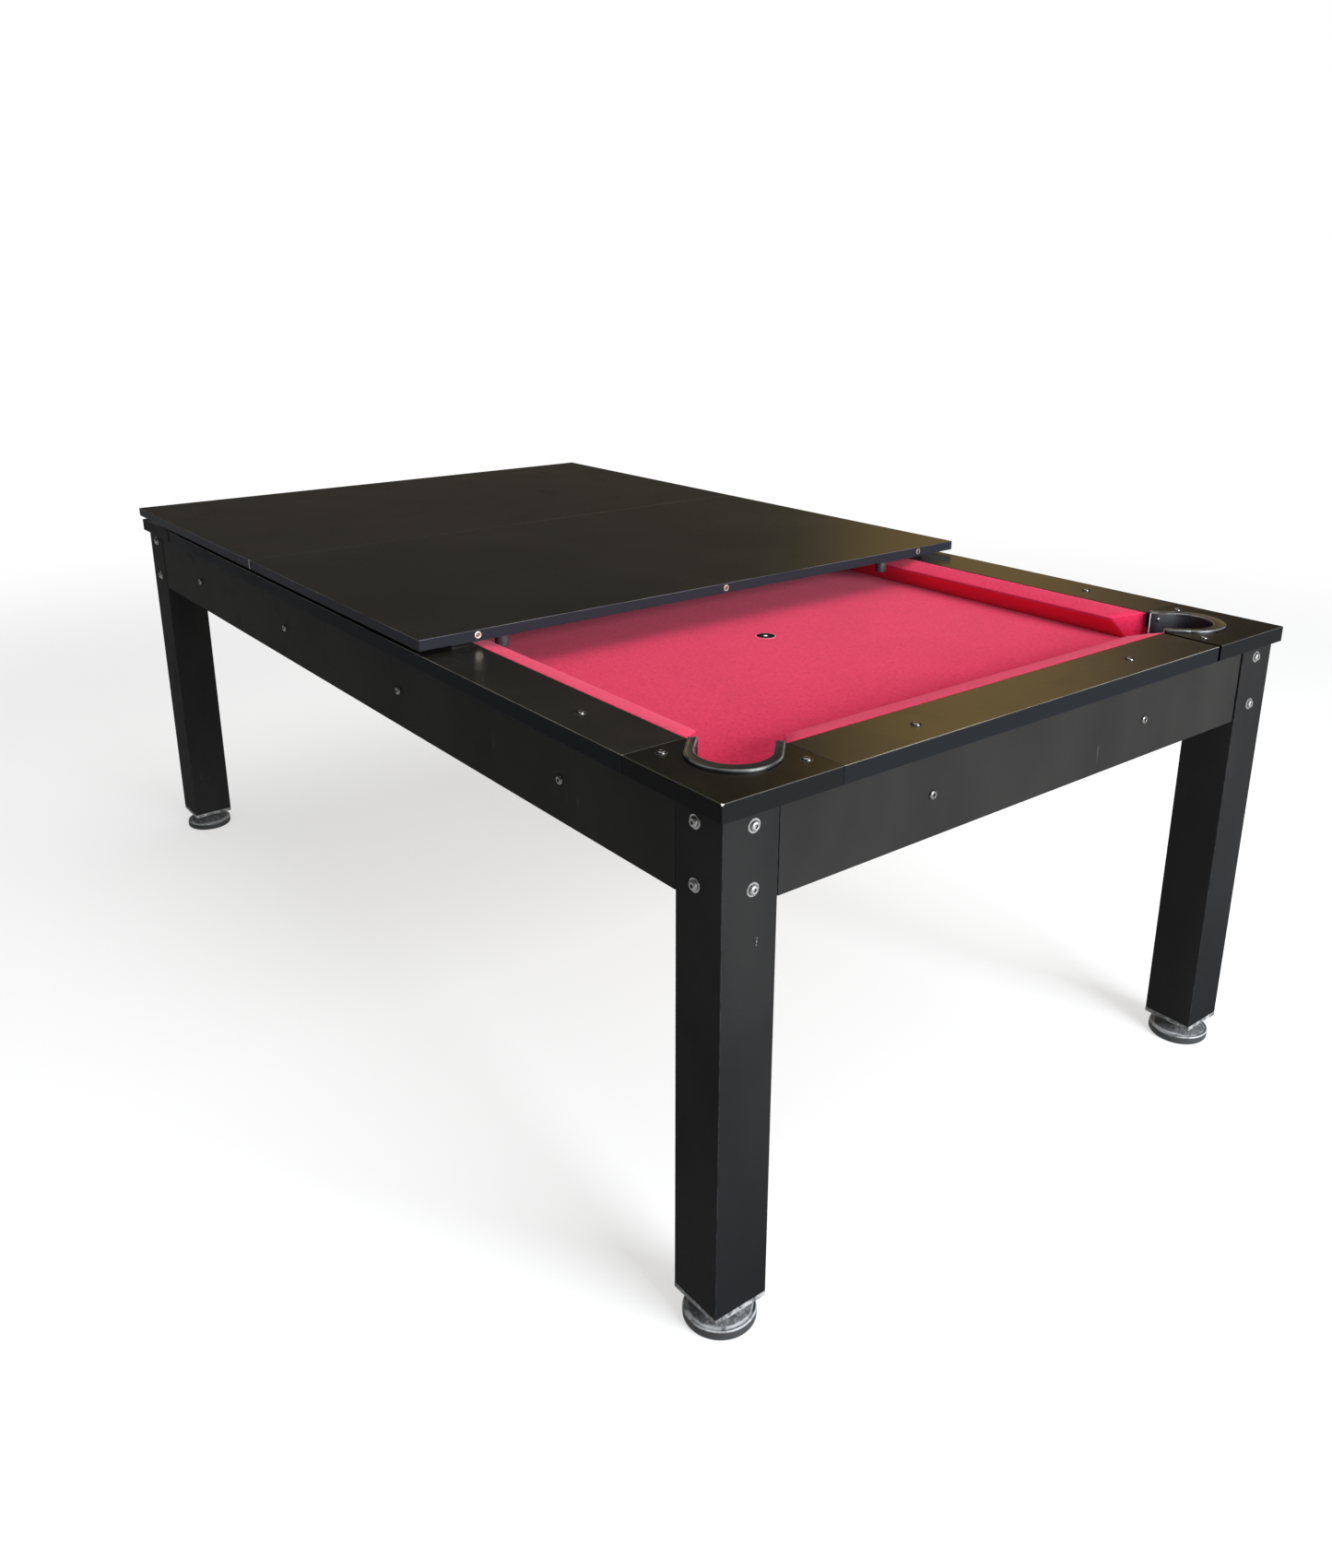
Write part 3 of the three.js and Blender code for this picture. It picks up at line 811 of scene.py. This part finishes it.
def makeScrews(places):
    heads, seats, aprons, bolts, flanges, nuts = Shape(), Shape(), Shape(), Shape(), Shape(), Shape()
    tops = []
    for side in ("front", "back", "left", "right"):
        outward, along = sideOf(side)
        shares = places["longShares" if side in ("front", "back") else "shortShares"]
        rail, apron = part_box(f"rail_{side}"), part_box(f"apron_{side}")
        height = apron[0].z + (apron[1].z - apron[0].z) * places["apronUp"]
        for share in shares:
            run = along * share * (rail[1] - rail[0]).dot(along) / 2
            tops.append(outward * (reachOf(rail, outward) - places["railFromEdge"] * mm) + run + upward * railTop)
            point = outward * reachOf(apron, outward) + run + upward * height
            buttonHead(aprons, screwLook["apron"], point, outward)
    near, (farX, farY) = places["plate"]["near"], places["plate"]["far"]
    for name, (x, y) in corners.items():
        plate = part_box(f"corner_plate_{name}")
        edge = Vector((x * reachOf(plate, Vector((1, 0, 0))), y * reachOf(plate, Vector((0, 1, 0))), railTop))
        tops.append(edge - Vector((x * farX, y * near, 0)) * mm)
        tops.append(edge - Vector((x * near, y * farY, 0)) * mm)
    look = screwLook["rail"]
    for point in tops:
        buttonHead(heads, look, point, upward)
        washer(seats, look["radius"] * mm * 0.96, look["seat"] * mm, 0.45 * mm, point, upward)
    look = screwLook["leg"]
    for name, (x, y) in corners.items():
        leg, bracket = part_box(f"leg_{name}"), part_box(f"corner_bracket_{name}")
        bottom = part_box("apron_front")[0].z
        inX, inY = places["leg"]["inwards"]
        middle = (leg[0] + leg[1]) / 2 - Vector((x * inX, y * inY, 0)) * mm
        for outward in (Vector((x, 0, 0)), Vector((0, y, 0))):
            inner = reachOf(bracket, outward) - places["leg"]["bracketWall"] * mm
            for rise in places["leg"]["heights"]:
                across = Vector((middle.x * abs(outward.y), middle.y * abs(outward.x), bottom + rise * mm))
                point = outward * reachOf(leg, outward) + across
                washer(flanges, 4 * mm, look["seat"] * mm, 1.3 * mm, point, outward)
                buttonHead(bolts, look, point, outward, 1.2 * mm)
                nuts.turn(inMetres(nutProfile), lookingAlong(outward * inner + across, -outward), 24)
    heads.piece("rail_screws", "black", "plated_steel", "table")
    seats.piece("rail_screw_seats", "seat", "end_cap_plastic", "table")
    aprons.piece("apron_screws", "dark", "plated_steel", "table")
    bolts.piece("leg_bolts", "bolt", "plated_steel", "table")
    flanges.piece("leg_bolt_washers", "bolt", "plated_steel", "table")
    nuts.piece("leg_bolt_nuts", "bright", "plated_steel", "table")


makeScrews(screwPlaces)
print("stage: screws and bolts made")

# Pockets: sizes in millimetres, from the inner wall outwards and from the rail's top upwards.
pocketShape = {
    "radius": 52,
    "wall": 4,
    "floor": 4,
    "mouth": 42,
    "rimSide": 14,
    "rimBack": 22,
    "beadWidth": 4.2,
    "cupRound": 12,
    "rivet": [(0, 1.5), (1.68, 1.35), (3.15, 0.95), (4.2, 0.2), (4.2, -0.3), (0, -0.3)],
    "rivetBack": 13,
    "rivetDown": 9,
    "cornerShift": 32,
    "middleShift": 57,
}


def linerSection(width, foot, top, rest, look):
    wall = look["wall"] * mm
    bead = look["beadWidth"] * mm
    spots = [
        (0, foot),
        (0, top - 3.2 * mm),
        (0.5 * mm, top - 1.3 * mm),
        (1.6 * mm, top - 0.5 * mm),
        (3.2 * mm, top - 0.3 * mm),
        (width - bead, top - 0.9 * mm),
        (width - bead * 0.72, top - 0.3 * mm),
        (width - bead * 0.42, top),
        (width - bead * 0.16, top - 0.6 * mm),
        (width, top - 1.9 * mm),
        (width, rest),
        (wall, rest),
        (wall, foot),
    ]
    return [Vector(spot) for spot in spots]


def makePocket(name, centre, turn, look):
    low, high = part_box(f"pocket_liner_{name}")
    rest = railTop + clearance * mm
    radius, mouth = look["radius"] * mm, look["mouth"] * mm
    lip, above = clothTop - 1.5 * mm, clothTop + clearance * mm
    place = Matrix.Translation(centre) @ Matrix.Rotation(turn, 4, "Z")
    stations = []  # (foot of the wall, outwards, rim width, lower end)
    side = look["rimSide"] * mm
    for x in (-mouth, -mouth + 1.2 * mm, -0.6 * mouth, -0.25 * mouth, -0.4 * mm):
        stations.append((Vector((x, -radius, 0)), Vector((0, -1, 0)), side, above))
    shift = (look["rimBack"] - look["rimSide"]) * mm
    outer = radius + side
    turns = 32
    for step in range(turns + 1):
        angle = -math.pi / 2 + math.pi * step / turns
        outwards = Vector((math.cos(angle), math.sin(angle), 0))
        width = shift * outwards.x + math.sqrt(outer**2 - (shift * outwards.y) ** 2) - radius
        stations.append((outwards * radius, outwards, width, lip))
    for point, outwards, width, foot in reversed(stations[:5]):
        stations.append((Vector((point.x, -point.y, 0)), -outwards, width, foot))
    rings = []
    for i, (point, outwards, width, foot) in enumerate(stations):
        atEnd = i in (0, len(stations) - 1)
        section = drawnIn(linerSection(width, foot, high.z, rest, look), 1.0 * mm if atEnd else 0)
        rings.append([place @ (point + outwards * part.x + upward * part.y) for part in section])
    shape = Shape()
    shape.skin(rings)
    wall, floor, bend = look["wall"] * mm, look["floor"] * mm, look["cupRound"] * mm
    under = bend * 0.6
    profile = [(0, low.z + 0.2 * mm)]
    profile += [(radius + wall - under * (1 - sine), low.z + under * (1 - cosine)) for sine, cosine in quarter(6)]
    profile += [(radius + wall, lip), (radius, lip)]
    profile += [(radius - bend * (1 - cosine), low.z + floor + bend * (1 - sine)) for sine, cosine in quarter(6)]
    profile.append((0, low.z + floor))
    shape.turn(profile, place, 64)
    shape.piece(f"pocket_cup_{name}", "pocket", "pocket_rubber", "table", 50, [f"pocket_liner_{name}"])
    rivets = Shape()
    height = rest - look["rivetDown"] * mm
    for way in (-1, 1):
        point = place @ Vector((-mouth + look["rivetBack"] * mm, way * radius, height))
        rivets.turn(inMetres(look["rivet"]), lookingAlong(point, place.to_3x3() @ Vector((0, -way, 0))), 20)
    rivets.piece(f"pocket_rivets_{name}", "dark", "plated_steel", "table")
    strips = Shape()  # pale strips on the two ends of the liner
    half, tall, bend = wall / 2 - 0.2 * mm, (high.z - above) / 2 - 2.2 * mm, 0.8 * mm
    outline = rounded([(-half, -tall, bend), (half, -tall, bend), (half, tall, bend), (-half, tall, bend)])
    for way in (-1, 1):
        rings = []
        for out, inset in ((-0.6, 0), (0.4, 0), (0.8, 0.4)):
            around = drawnIn(outline, inset * mm)
            centre = Vector((-mouth - out * mm, way * (radius + wall / 2), (high.z + above) / 2))
            rings.append([place @ (centre + Vector((0, spot.x, spot.y))) for spot in around])
        strips.skin(rings)
    strips.piece(f"pocket_strips_{name}", "strip", "pocket_rubber", "table")


def makePockets(look):
    shift = look["cornerShift"] * mm
    for name, (x, y) in corners.items():
        centre = Vector((x * (noseX + shift), y * (noseY + shift), 0))
        makePocket(name, centre, math.atan2(y, x), look)
    for name, y in (("front_middle", -1), ("back_middle", 1)):
        makePocket(name, Vector((0, y * (noseY + look["middleShift"] * mm), 0)), y * math.pi / 2, look)


makePockets(pocketShape)
print("stage: pockets made")

# Cushions: section sizes in millimetres, outwards from the nose.
cushionShape = {
    "depth": 48.5,
    "undercut": 22,
    "lip": 5,
    "drop": 10.7,
    "crown": 0.9,
    "hollow": 0.8,
    "noseRound": 2.0,
    "cornerJaw": 40,
    "middleJaw": 10,
    "endRound": 2.2,
    "backing": 20,
    "ringEvery": 30,
    "unevenness": 0.22,
    "waves": {"up": 14, "out": 11},  # per metre
}


def arch(share):  # 0 at both ends, 1 halfway
    return 4 * share * (1 - share)


def cushionSection(foot, top, shelf, look):
    face, back = (look["depth"] - clearance) * mm, (look["depth"] - clearance + look["backing"]) * mm
    nose = top - look["drop"] * mm
    points = [
        (0, nose, look["noseRound"] * mm),
        (0, nose - look["lip"] * mm, 1.2 * mm),
    ]
    under = Vector((look["undercut"] * mm, foot))
    start = Vector((0, nose - look["lip"] * mm))
    for share in (0.3, 0.5, 0.7):
        spot = start.lerp(under, share)
        inset = look["hollow"] * mm * arch(share)
        points.append((spot.x + inset * 0.8, spot.y + inset * 0.5, 0))
    points += [
        (under.x, under.y, 0.8 * mm),
        (back, foot, 0),
        (back, shelf, 0),
        (face, shelf, 0),
        (face, top, 1.6 * mm),
    ]
    start, end = Vector((face, top)), Vector((0, nose))
    for share in (0.15, 0.3, 0.5, 0.7, 0.85):
        spot = start.lerp(end, share)
        points.append((spot.x, spot.y + look["crown"] * mm * arch(share), 0))
    return rounded(points)


def makeCushion(name, look):
    side = name.split("_")[1]
    outward, along = sideOf(side)
    low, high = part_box(name)
    nose = min(abs(low.dot(outward)), abs(high.dot(outward)))
    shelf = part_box(f"rail_{side}")[0].z - clearance * mm
    section = cushionSection(low.z, high.z, shelf, look)
    back = (look["depth"] - clearance + look["backing"]) * mm
    cornerSlope, middleSlope = look["cornerJaw"] / look["depth"], look["middleJaw"] / look["depth"]
    ends = [low.dot(along), high.dot(along)]
    slopes = [cornerSlope, cornerSlope]
    if name.count("_") == 2:  # a long side's cushion, with one end at a middle pocket
        slopes = [cornerSlope, middleSlope] if abs(ends[0]) > abs(ends[1]) else [middleSlope, cornerSlope]
    turnIn = look["endRound"] * mm
    length = ends[1] - ends[0]
    stations = [(0, turnIn), (0.25 * turnIn, 0.35 * turnIn), (turnIn, 0)]
    count = max(4, round(length / (look["ringEvery"] * mm)))
    for step in range(1, count):
        stations.append((turnIn + (length - 2 * turnIn) * step / count, 0))
    stations += [(length - turnIn, 0), (length - 0.25 * turnIn, 0.35 * turnIn), (length, turnIn)]
    rings = []
    for run, inset in stations:
        share = run / length
        ring = []
        for part in drawnIn(section, inset):
            start = ends[0] + slopes[0] * (back - part.x)
            end = ends[1] - slopes[1] * (back - part.x)
            point = outward * (nose + part.x) + along * (start + (end - start) * share) + upward * part.y
            if part.x < look["depth"] * 0.9 * mm and part.y > low.z + 2 * mm:
                waves = look["waves"]
                point += upward * noise.noise(Vector((point.x, point.y, 0)) * waves["up"]) * look["unevenness"] * mm
                point += outward * noise.noise(Vector((point.x, point.y, 5)) * waves["out"]) * look["unevenness"] * mm
            ring.append(point)
        rings.append(ring)
    shape = Shape()
    shape.skin(rings)
    cushion = shape.piece(f"{name}_cloth", "cushionCloth", "cushion_cloth", "table", 55, [name])


for name in sorted(parts):
    if name.startswith("cushion_"):
        makeCushion(name, cushionShape)
print("stage: cushions made")


def topOutline(name):  # the loop round a CAD part's top face
    mesh = parts[name].data
    top = max(vertex.co.z for vertex in mesh.vertices)
    following = {}
    for face in mesh.polygons:
        spots = [mesh.vertices[i].co for i in face.vertices]
        if face.normal.z > 0.9 and min(spot.z for spot in spots) > top - 0.05 * mm:
            keys = [(round(spot.x, 5), round(spot.y, 5)) for spot in spots]
            for a, b in zip(keys, keys[1:] + keys[:1]):
                if (b, a) in following:
                    del following[(b, a)]
                else:
                    following[(a, b)] = True
    steps = dict(following.keys())
    here = min(steps)
    loop = [here]
    while steps[loop[-1]] != here:
        loop.append(steps[loop[-1]])
    return [Vector(spot) for spot in loop]


# Bed cloth: taut over the bed, its cut edge rolled over where the pockets open. Sizes in millimetres.
bedClothShape = {"thick": 0.9, "roll": 0.8}


def makeBedCloth(look):
    outline = topOutline("bed_cloth")
    thick, roll = look["thick"] * mm, look["roll"] * mm
    shape = Shape()
    rings = [(0, -thick), (0, -roll * 0.9), (roll * 0.3, -roll * 0.35), (roll, 0), (2 * roll, 0)]
    shape.skin([[Vector((*spot, clothTop + drop)) for spot in drawnIn(outline, inset)] for inset, drop in rings])
    cloth = shape.piece("bed_cloth_sheet", "bedCloth", "table_cloth", "table", 30, ["bed_cloth"])
    abs(enclosed(outline))


makeBedCloth(bedClothShape)


def makeSpot(look):
    shape = Shape()
    radius, thick = look["radius"], look["thick"]
    profile = [(0, thick), (radius * 0.3, thick), (radius * 0.9, thick), (radius - 0.2 * mm, thick * 0.8)]
    shape.turn(profile + [(radius, 0), (0, 0)], Matrix.Translation((*look["place"], clothTop)), 48)
    shape.piece("foot_spot", "spot", "end_cap_plastic", "table")


makeSpot(spotLook)
print("stage: cloth and spot laid")

# Feet: pad profile (radius, height) and the stud's thread. Sizes in millimetres.
footShape = {
    "pad": [
        (0, 0), (49, 0), (52.2, 0.9), (53.8, 3.2), (54, 8), (53.8, 14), (53.1, 16.3), (51.7, 17.3), (50.2, 16.9),
        (49.0, 16.1), (46, 17.6), (40, 21.2), (33, 24.6), (26, 27.6), (20, 29.4), (16.4, 30), (9.4, 30), (8.4, 29.2),
        (8.4, 12), (0, 12),
    ],
    "ruffle": 2.2,
    "sway": 2.6,
    "spread": 0.012,  # how much the sway widens the pad, as a share
    "waves": (26.6, 60.8, 136.8),  # per metre: the sway, then two sizes of crumple
    "flatUnder": 5,
    "stillWithin": 12,
    "fullFrom": 42,
    "brim": 50,
    "thread": 8,
    "threadDepth": 0.9,
    "pitch": 2,
    "collarFlats": 12,
}


def makeFeet(look):
    for name in corners:
        low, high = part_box(f"foot_pad_{name}")
        place = Matrix.Translation(((low.x + high.x) / 2, (low.y + high.y) / 2, low.z))

        def wander(point):
            radius = math.hypot(point.x, point.y)
            still = look["stillWithin"] * mm
            if point.z < look["flatUnder"] * mm or radius < still:
                return point
            spot = Vector((point.x, point.y, (low.x * 9 + low.y * 7) / 38))  # each pad its own
            sway, coarse, fine = (noise.noise(spot * waves) for waves in look["waves"])
            crumple = coarse * 0.6 + fine * 0.4
            share = min(1.0, (radius - still) / (look["fullFrom"] * mm - still))
            share *= 1.0 if point.z > 12 * mm else 0.3
            lift = sway * look["sway"] + (crumple - 0.2) * look["ruffle"] * (radius < look["brim"] * mm)
            return point * (1 + look["spread"] * sway * share) + upward * lift * share * mm

        pad = Shape()
        pad.turn(inMetres(look["pad"]), place, 72, wander)
        pad.piece(f"foot_pad_{name}_rubber", "foot", "foot_rubber", f"pad_{name}", 50, [f"foot_pad_{name}"])
        low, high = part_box(f"foot_stud_{name}")
        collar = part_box(f"foot_pad_{name}")[1].z + clearance * mm
        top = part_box(f"leg_cap_{name}")[0].z - clearance * mm
        stud = Shape()
        flats = look["collarFlats"] * mm
        chamfer = 0.8 * mm
        profile = [(0, collar), (flats - chamfer, collar, "hexagon"), (flats, collar + chamfer, "hexagon")]
        profile += [(flats, top - chamfer, "hexagon"), (flats - chamfer, top, "hexagon"), (0, top)]
        stud.turn(profile, place, 24)
        crest, root = look["thread"] * mm, (look["thread"] - look["threadDepth"]) * mm
        pitch, steps, rings = look["pitch"] * mm, 20, []
        height = low.z + 0.5 * mm
        while height < high.z - 1.0 * mm:
            ring = []
            for i in range(steps):
                phase = (height / pitch - i / steps) % 1
                reach = root + (crest - root) * abs(2 * phase - 1)
                angle = 2 * math.pi * i / steps
                ring.append(place @ Vector((reach * math.cos(angle), reach * math.sin(angle), height)))
            rings.append(ring)
            height += pitch / 4
        for end, spot in ((0, low.z), (-1, high.z)):
            centre = place @ Vector((0, 0, spot))
            tip = [centre + (point - centre) * 0.86 for point in rings[end]]
            for point in tip:
                point.z = spot
            rings = [tip] + rings if end == 0 else rings + [tip]
        stud.skin(rings)
        stud.piece(f"foot_stud_{name}_steel", "bright", "plated_steel", f"stud_{name}", 30, [f"foot_stud_{name}"])


makeFeet(footShape)
print("stage: feet made")

# Feet under the cover boards: a pad on the rail with a round peg that drops inside the cushion. Millimetres.
coverFootShape = {"round": 1.6, "peg": 12, "pegInset": 20, "pegRound": 2.5}


def roundedBlock(shape, low, high, radius):
    x, y = (high.x - low.x) / 2, (high.y - low.y) / 2
    middle = (low + high) / 2
    outline = rounded([(-x, -y, 3 * radius), (x, -y, 3 * radius), (x, y, 3 * radius), (-x, y, 3 * radius)])
    steps = [(radius, 0), (0.3 * radius, 0.3 * radius), (0, radius)]
    levels = [(inset, low.z + rise) for inset, rise in steps] + [(inset, high.z - rise) for inset, rise in steps[::-1]]
    rings = []
    for inset, height in levels:
        rings.append([Vector((middle.x + spot.x, middle.y + spot.y, height)) for spot in drawnIn(outline, inset)])
    shape.skin(rings)


def makeCoverFeet(look):
    for name in sorted(parts):
        if not name.startswith("cover_foot_"):
            continue
        low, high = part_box(name)
        way = 1 if low.y > 0 else -1
        shape = Shape()
        roundedBlock(shape, Vector((low.x, low.y, railTop + clearance * mm)), high, look["round"] * mm)
        peg, bend = look["peg"] * mm, look["pegRound"] * mm
        centre = Vector(((low.x + high.x) / 2, way * (noseY - look["pegInset"] * mm), 0))
        profile = [(0, low.z)]
        profile += [(peg - bend * (1 - sine), low.z + bend * (1 - cosine)) for sine, cosine in quarter(4)]
        profile += [(peg, high.z - 0.2 * mm), (0, high.z - 0.2 * mm)]
        shape.turn(profile, Matrix.Translation(centre), 40)
        board = name.split("_")[2]
        shape.piece(f"{name}_moulding", "seat", "cover_foot_plastic", f"cover_{board}", 50, [name])
        screw = Shape()
        buttonHead(screw, screwLook["foot"], Vector((centre.x, centre.y, low.z)), -upward)
        screw.piece(f"{name}_screw", "dark", "plated_steel", f"cover_{board}")


makeCoverFeet(coverFootShape)

# Metal catches let into the cover boards' edges. Across the board in metres, sizes in millimetres.
catchShape = {"across": (-0.545, 0.0, 0.545), "ring": 6.2, "cup": 4.1, "pin": 2.0, "proud": 0.35}


def makeCatches(look):
    for board in ("left", "middle"):
        low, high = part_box(f"cover_board_{board}")
        rings, cups = Shape(), Shape()
        cup, pin, proud = look["cup"] * mm, look["pin"] * mm, look["proud"] * mm
        profile = [(0, proud), (pin * 0.8, proud * 0.9), (pin, proud * 0.3), (pin * 1.1, proud * 0.2)]
        profile += [(cup * 0.8, proud * 0.35), (cup, proud), (cup * 1.03, -0.2 * mm), (0, -0.2 * mm)]
        for y in look["across"]:
            point = Vector((high.x, y, (low.z + high.z) / 2))
            washer(rings, cup, look["ring"] * mm, proud * 0.7, point, (1, 0, 0))
            cups.turn(profile, lookingAlong(point, (1, 0, 0)), 32)
        rings.piece(f"cover_catch_rings_{board}", "brass", "plated_steel", f"cover_{board}")
        cups.piece(f"cover_catches_{board}", "dark", "plated_steel", f"cover_{board}")


makeCatches(catchShape)
print("stage: cover fittings made")

# Studio: pale floor, a soft window from the right, a soft light overhead and a dim warm room to reflect.
studioLook = {
    "floor": (0.90, 0.90, 0.90),
    "floorDull": (0.80, 0.80, 0.80),
    "floorSize": 80,
    "floorLit": 0.55,
    "floorFrom": 2.2,
    "floorTo": 5.0,
    "white": (1.0, 1.0, 1.0),
    "fill": (0.33, 0.34, 0.345),
    "roomLow": (0.100, 0.088, 0.068),
    "roomHigh": (0.035, 0.033, 0.030),
    "glow": (1.30, 0.85, 0.24),
    "glowFar": (0.80, 0.50, 0.28),
    "glowAzimuth": 37.5,
    "glowWidth": (1, 9),
    "glowRise": (0.12, 0.40),
    "glowTurns": (0.0, 0.16),
    "roomRise": (0.10, 0.36),
}
lights = {
    "window": {
        "place": (4.6, 0.4, 1.75),
        "aim": (0.5, 0.2, 0.6),
        "size": (2.6, 2.0),
        "power": 420,
        "colour": (0.93, 0.96, 1.0),
    },
    "overhead": {
        "place": (0.2, 0.3, 4.2),
        "aim": (0.0, 0.0, 0.0),
        "size": (4.0, 4.0),
        "power": 132,
        "colour": (1.0, 0.98, 0.95),
    },
}


def makeFloor(look):
    bpy.ops.mesh.primitive_plane_add(size=look["floorSize"])
    floor = bpy.context.object
    floor.name = "studioFloor"
    f = Finish("studioFloor")
    away = f.vector("LENGTH", f.place, (0, 0, 0), output=1).fade(look["floorFrom"], look["floorTo"])
    mottle = f.noise(0.4, detail=3)
    near = f.node("ShaderNodeBsdfDiffuse", None, {"Color": f.mix(mottle * 0.04, look["floor"], look["floorDull"])})
    far = f.node("ShaderNodeEmission", None, {"Color": look["white"], "Strength": 1.0})
    share = away * (1 - look["floorLit"]) + look["floorLit"]
    floor.data.materials.append(f.output(f.node("ShaderNodeMixShader", None, {0: share, 1: near, 2: far})))


def makeWorld(look):
    world = bpy.data.worlds.new("studioWorld")
    bpy.context.scene.world = world
    world.use_nodes = True
    f = Finish("studioWorld", world.node_tree)
    turn = math.radians(look["glowAzimuth"])
    direction = f.node("ShaderNodeTexCoord").other("Generated")
    level = f.vector("NORMALIZE", f.vector("MULTIPLY", direction, (1, 1, 0)), (0, 0, 0))
    inner, outer = (math.cos(math.radians(angle)) for angle in look["glowWidth"])
    across = f.vector("DOT_PRODUCT", level, (-math.sin(turn), math.cos(turn), 0), output=1).fade(outer, inner)
    rise = f.split(direction)[2]
    room = f.mix(rise.fade(*look["roomRise"]), look["roomLow"], look["roomHigh"])
    leaning = f.vector("DOT_PRODUCT", level, (math.cos(turn), math.sin(turn), 0), output=1)
    glow = f.mix(leaning.fade(*look["glowTurns"]), look["glow"], look["glowFar"])
    room = f.mix(across * rise.fade(*look["glowRise"]), room, glow)
    paths = f.node("ShaderNodeLightPath")
    colour = f.mix(paths.other("Is Glossy Ray"), look["fill"], room)
    colour = f.mix(paths.other("Is Camera Ray"), colour, look["white"])
    shade = f.node("ShaderNodeBackground", None, {"Color": colour, "Strength": 1.0})
    f.node("ShaderNodeOutputWorld", None, {"Surface": shade})


def makeLights(looks):
    for name, look in looks.items():
        data = bpy.data.lights.new(name, "AREA")
        data.shape = "RECTANGLE"
        data.size, data.size_y = look["size"]
        data.energy = look["power"]
        data.color = look["colour"]
        light = bpy.data.objects.new(name, data)
        light.location = look["place"]
        light.rotation_euler = (Vector(look["aim"]) - Vector(look["place"])).to_track_quat("-Z", "Y").to_euler()
        bpy.context.scene.collection.objects.link(light)


makeFloor(studioLook)
makeWorld(studioLook)
makeLights(lights)
bpy.context.scene.view_settings.view_transform = "Standard"
print("stage: studio lit")
